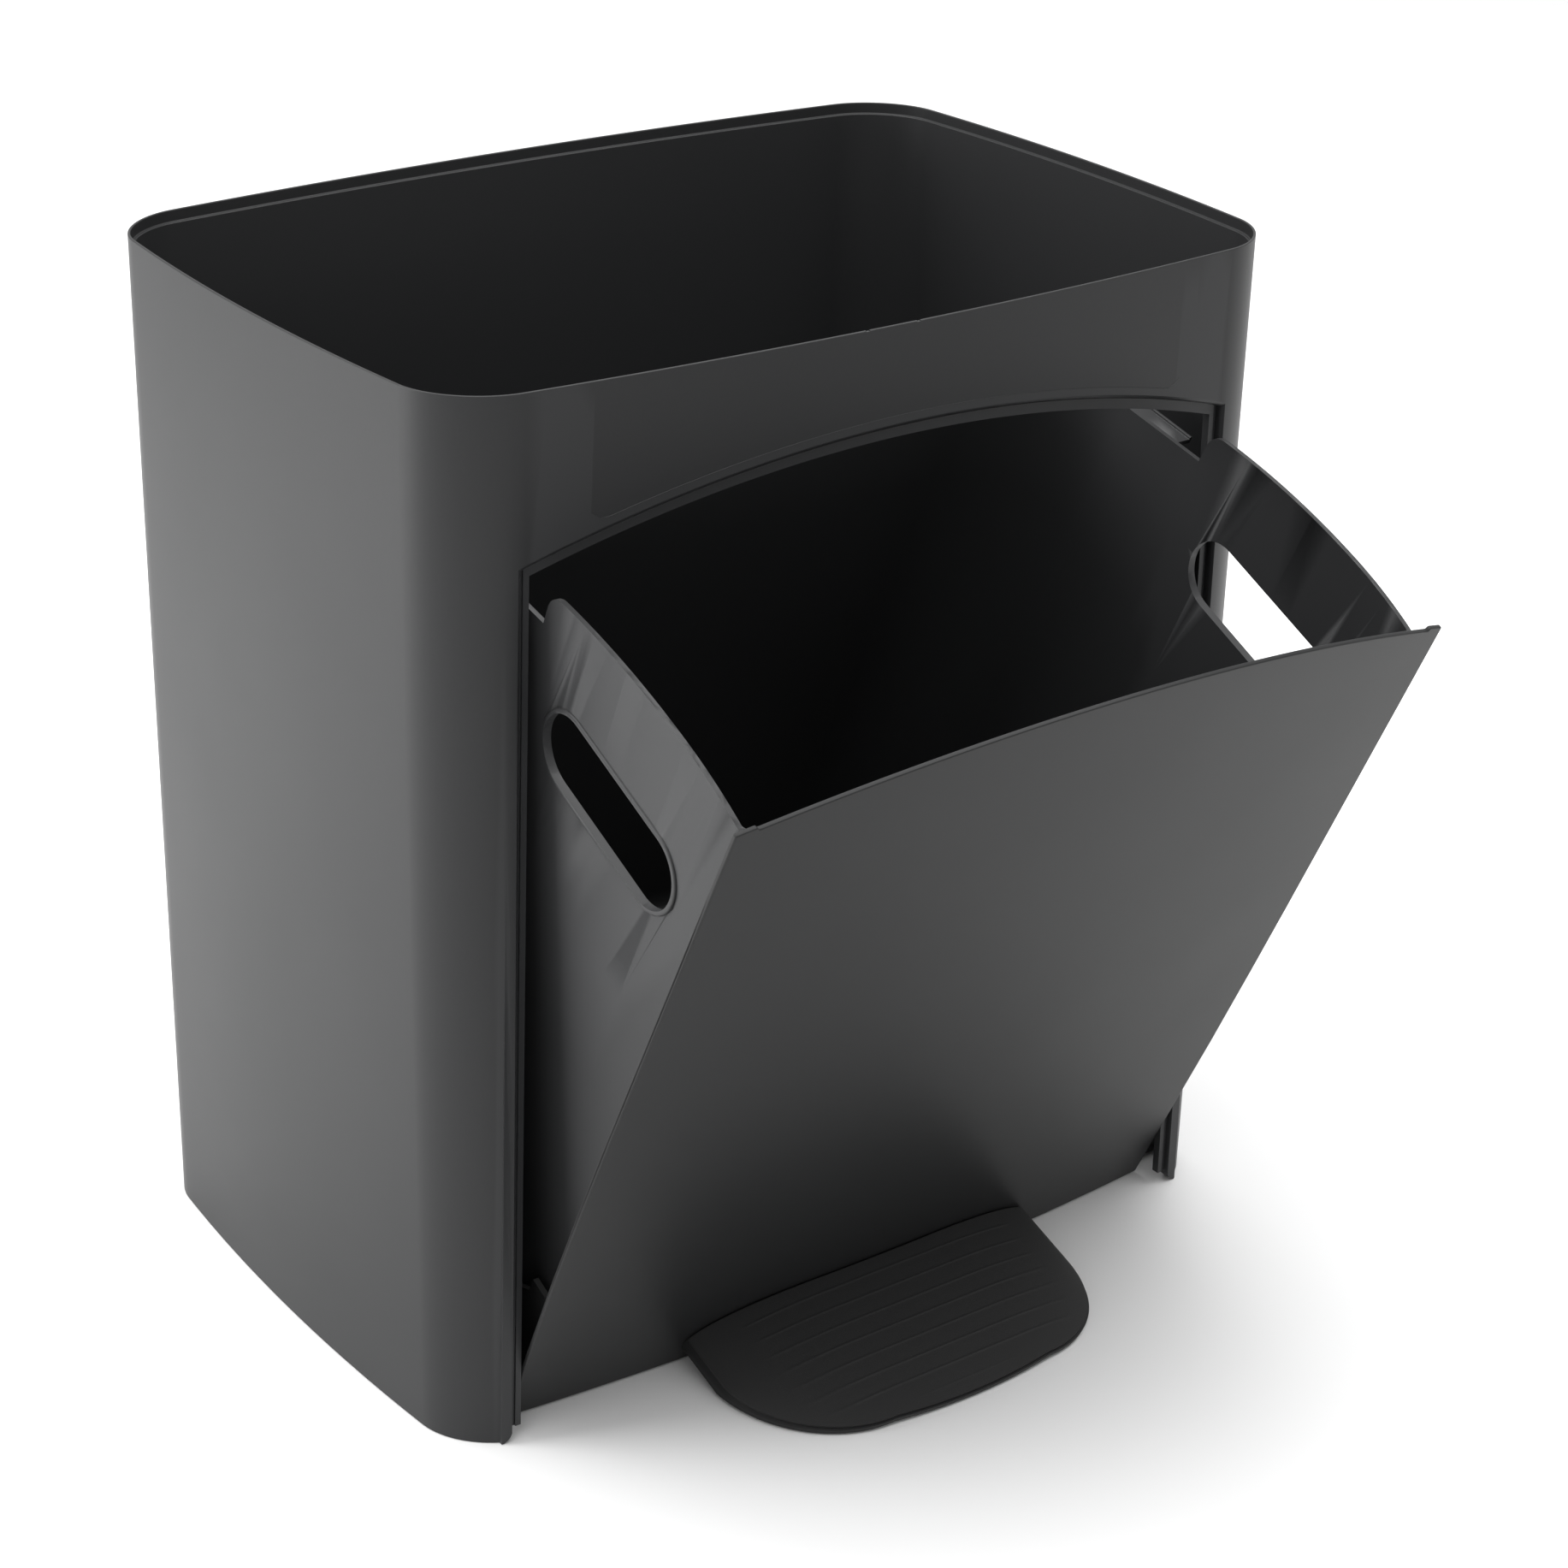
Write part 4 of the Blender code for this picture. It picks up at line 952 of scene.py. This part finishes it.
pedal_drop = TREAD_THICKNESS + GAP
pedal = linked_object("pedal_shell", pedal_sheet(0, pedal_drop, pedal_drop + PEDAL_THICKNESS))
under = TREAD_THICKNESS + GAP + PEDAL_THICKNESS / 2
work(pedal, [("UNION", front_slab(
    lambda z: FLANGE_HALF, lambda x: FLANGE_LOW, lambda x: pedal_z(x, 0) - under,
    -GAP - FLANGE_PLATE, -GAP, columns=60, heights=(),
))])
for index in (-1, 0, 1):
    x = index * RIB_SPACING
    rear = -front_y(x) + GAP + FLANGE_PLATE / 2
    front = rear + RIB_REACH
    wedge = [
        (-rear, pedal_z(x, rear - HALF_DEPTH) - under - RIB_HEIGHT),
        (-rear, pedal_z(x, rear - HALF_DEPTH) - under),
        (-front, pedal_z(x, front - HALF_DEPTH) - under),
        (-front, pedal_z(x, front - HALF_DEPTH) - under - PEDAL_THICKNESS),
    ]
    work(pedal, [("UNION", along_x(wedge, x - RIB_THICKNESS / 2, x + RIB_THICKNESS / 2))])
for x in (-PEDAL_SCREW_X, PEDAL_SCREW_X):
    face = front_y(x)
    work(pedal, [("DIFFERENCE", rod_y(x, PEDAL_SCREW_Z, SCREW_HOLE, face - GAP - 0.0045, face + 0.01))])
round_edges(pedal, 0.0006, angle=60.0, segments=2)
finish_surface(pedal)
pedal.data.materials.append(pedal_plastic)
tip(pedal)
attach(pedal, "tipping_body")
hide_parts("pedal")

# %% [markdown]
# ## Ribbed tread
#
# A rubber tread covers the pedal. Very low ridges run across it, parallel to the panel, so that a wet
# shoe doesn't slip. They are real relief: each ridge is a narrow bump in the sheet's height that
# fades out towards the rounded edge.

# %% Tread
RIDGE_SPACING = 0.0110
RIDGE_HALF = 0.0008
RIDGE_HEIGHT = 0.00024
RIDGE_FIRST = 0.010


def ridges(x, ahead, front):
    nearest = round((ahead - RIDGE_FIRST) / RIDGE_SPACING)
    if nearest < 0:
        return 0.0
    away = abs(ahead - RIDGE_FIRST - nearest * RIDGE_SPACING) / RIDGE_HALF
    edge = min(max((front - ahead - 0.006) / 0.004, 0), 1)
    side = min(max((PEDAL_HALF * 0.80 - abs(x)) / 0.008, 0), 1)
    return RIDGE_HEIGHT * max(1 - away, 0) * edge * side


tread_bm = pedal_sheet(TREAD_INSET, RIDGE_HEIGHT, TREAD_THICKNESS, relief=ridges, rows=200)
tread = linked_object("pedal_tread_sheet", tread_bm)
finish_surface(tread, sharp=60.0)
tread.data.materials.append(rubber)
tip(tread)
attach(tread, "tipping_body")
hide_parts("pedal_tread")

# %% [markdown]
# ## Finishes of the hidden pieces
#
# The cradle, the tray, the brackets, the bushes, the pins, the screws and the pads keep their CAD
# shape, which is already right, and only take a finish. Each name says what the piece is made of.

# %% Finishes for the carried-over pieces


def finish_for(name):
    if "screw" in name or name.startswith("pivot_pin"):
        return steel
    if name.startswith("pivot_bush"):
        return bush_plastic
    if "pad" in name:
        return rubber
    return structural_plastic


REMADE = ("casing", "front_panel", "bucket", "pedal", "pedal_tread")
shown_cad = [name for name in sorted(frame["nodes"]) if name not in REMADE]
for name in shown_cad:
    mesh = frame["nodes"][name].data
    mesh.materials.clear()
    mesh.materials.append(finish_for(name))
print("carried-over pieces:", len(shown_cad))

# %% [markdown]
# ## Studio
#
# The bin stands on a plain white sweep under large soft lights. The dark satin plastic shows mostly
# reflections: the side mirrors the bright floor, and the front mirrors a dimmer part of the room.

# %% Floor and lights


def pale_floor():
    mat = bpy.data.materials.new("studio_floor")
    mat.use_nodes = True
    tree = mat.node_tree
    shader = tree.nodes["Principled BSDF"]
    shader.inputs["Specular IOR Level"].default_value = 0.0
    place = node(tree, "ShaderNodeTexCoord").outputs["Object"]
    tone = node(tree, "ShaderNodeMix", data_type="RGBA")
    tone.inputs["A"].default_value = (0.84, 0.84, 0.84, 1.0)
    tone.inputs["B"].default_value = (0.86, 0.86, 0.86, 1.0)
    tree.links.new(noise(tree, place, 2.0), tone.inputs["Factor"])
    tree.links.new(tone.outputs["Result"], shader.inputs["Base Color"])
    shader.inputs["Roughness"].default_value = 0.9
    return mat


floor = linked_object("studio_floor", box_bm((-30, -30, -0.02), (30, 30, 0.0)))
floor.data.materials.append(pale_floor())


def softbox(name, place, aim, size, power):
    data = bpy.data.lights.new(name, "AREA")
    data.shape = "RECTANGLE"
    data.size, data.size_y = size
    data.energy = power
    lamp = bpy.data.objects.new(name, data)
    bpy.context.scene.collection.objects.link(lamp)
    lamp.location = place
    lamp.rotation_euler = (Vector(aim) - Vector(place)).to_track_quat("-Z", "Y").to_euler()
    return lamp


softbox("overhead", (0.15, 0.35, 3.0), (0.15, 0.35, 0), (3.8, 3.8), 145.0)
softbox("left_glow", (-1.8, 0.9, 0.72), (-1.0, 0.70, 0), (1.0, 1.6), 34.0)

world = bpy.data.worlds.new("studio_room")
bpy.context.scene.world = world
world.use_nodes = True
room = world.node_tree.nodes["Background"]
room.inputs["Color"].default_value = (1.0, 1.0, 1.0, 1.0)
room.inputs["Strength"].default_value = 0.70
bpy.context.scene.view_settings.view_transform = "Standard"

# %% [markdown]
# ## Camera
#
# The viewpoint is to the left of the bin and above it, with a longish lens. The camera has a place, an
# azimuth and an elevation, and it is rolled by a degree and a half, as a hand-held camera often is.

# %% Camera
VIEW_AZIMUTH = math.radians(-36.648)
VIEW_ELEVATION = math.radians(25.401)
VIEW_ROLL = math.radians(1.535)
VIEW_PLACE = Vector((-0.93912, MIDDLE_Y - 1.34407, 1.01746))
LENS = 78.70


def view_matrix():
    back = Vector((
        math.sin(VIEW_AZIMUTH) * math.cos(VIEW_ELEVATION),
        -math.cos(VIEW_AZIMUTH) * math.cos(VIEW_ELEVATION),
        math.sin(VIEW_ELEVATION),
    ))
    right = Vector((0, 0, 1)).cross(back).normalized()
    up = back.cross(right)
    rolled_right = right * math.cos(VIEW_ROLL) + up * math.sin(VIEW_ROLL)
    rolled_up = up * math.cos(VIEW_ROLL) - right * math.sin(VIEW_ROLL)
    turn = Matrix((rolled_right, rolled_up, back)).transposed().to_4x4()
    return Matrix.Translation(VIEW_PLACE) @ turn


camera_data = bpy.data.cameras.new("studio_camera")
camera_data.lens = LENS
camera_data.sensor_width = 36.0
camera = bpy.data.objects.new("studio_camera", camera_data)
bpy.context.scene.collection.objects.link(camera)
camera.matrix_world = view_matrix()
bpy.context.scene.camera = camera
print("camera at:", [round(v, 3) for v in camera.matrix_world.translation])
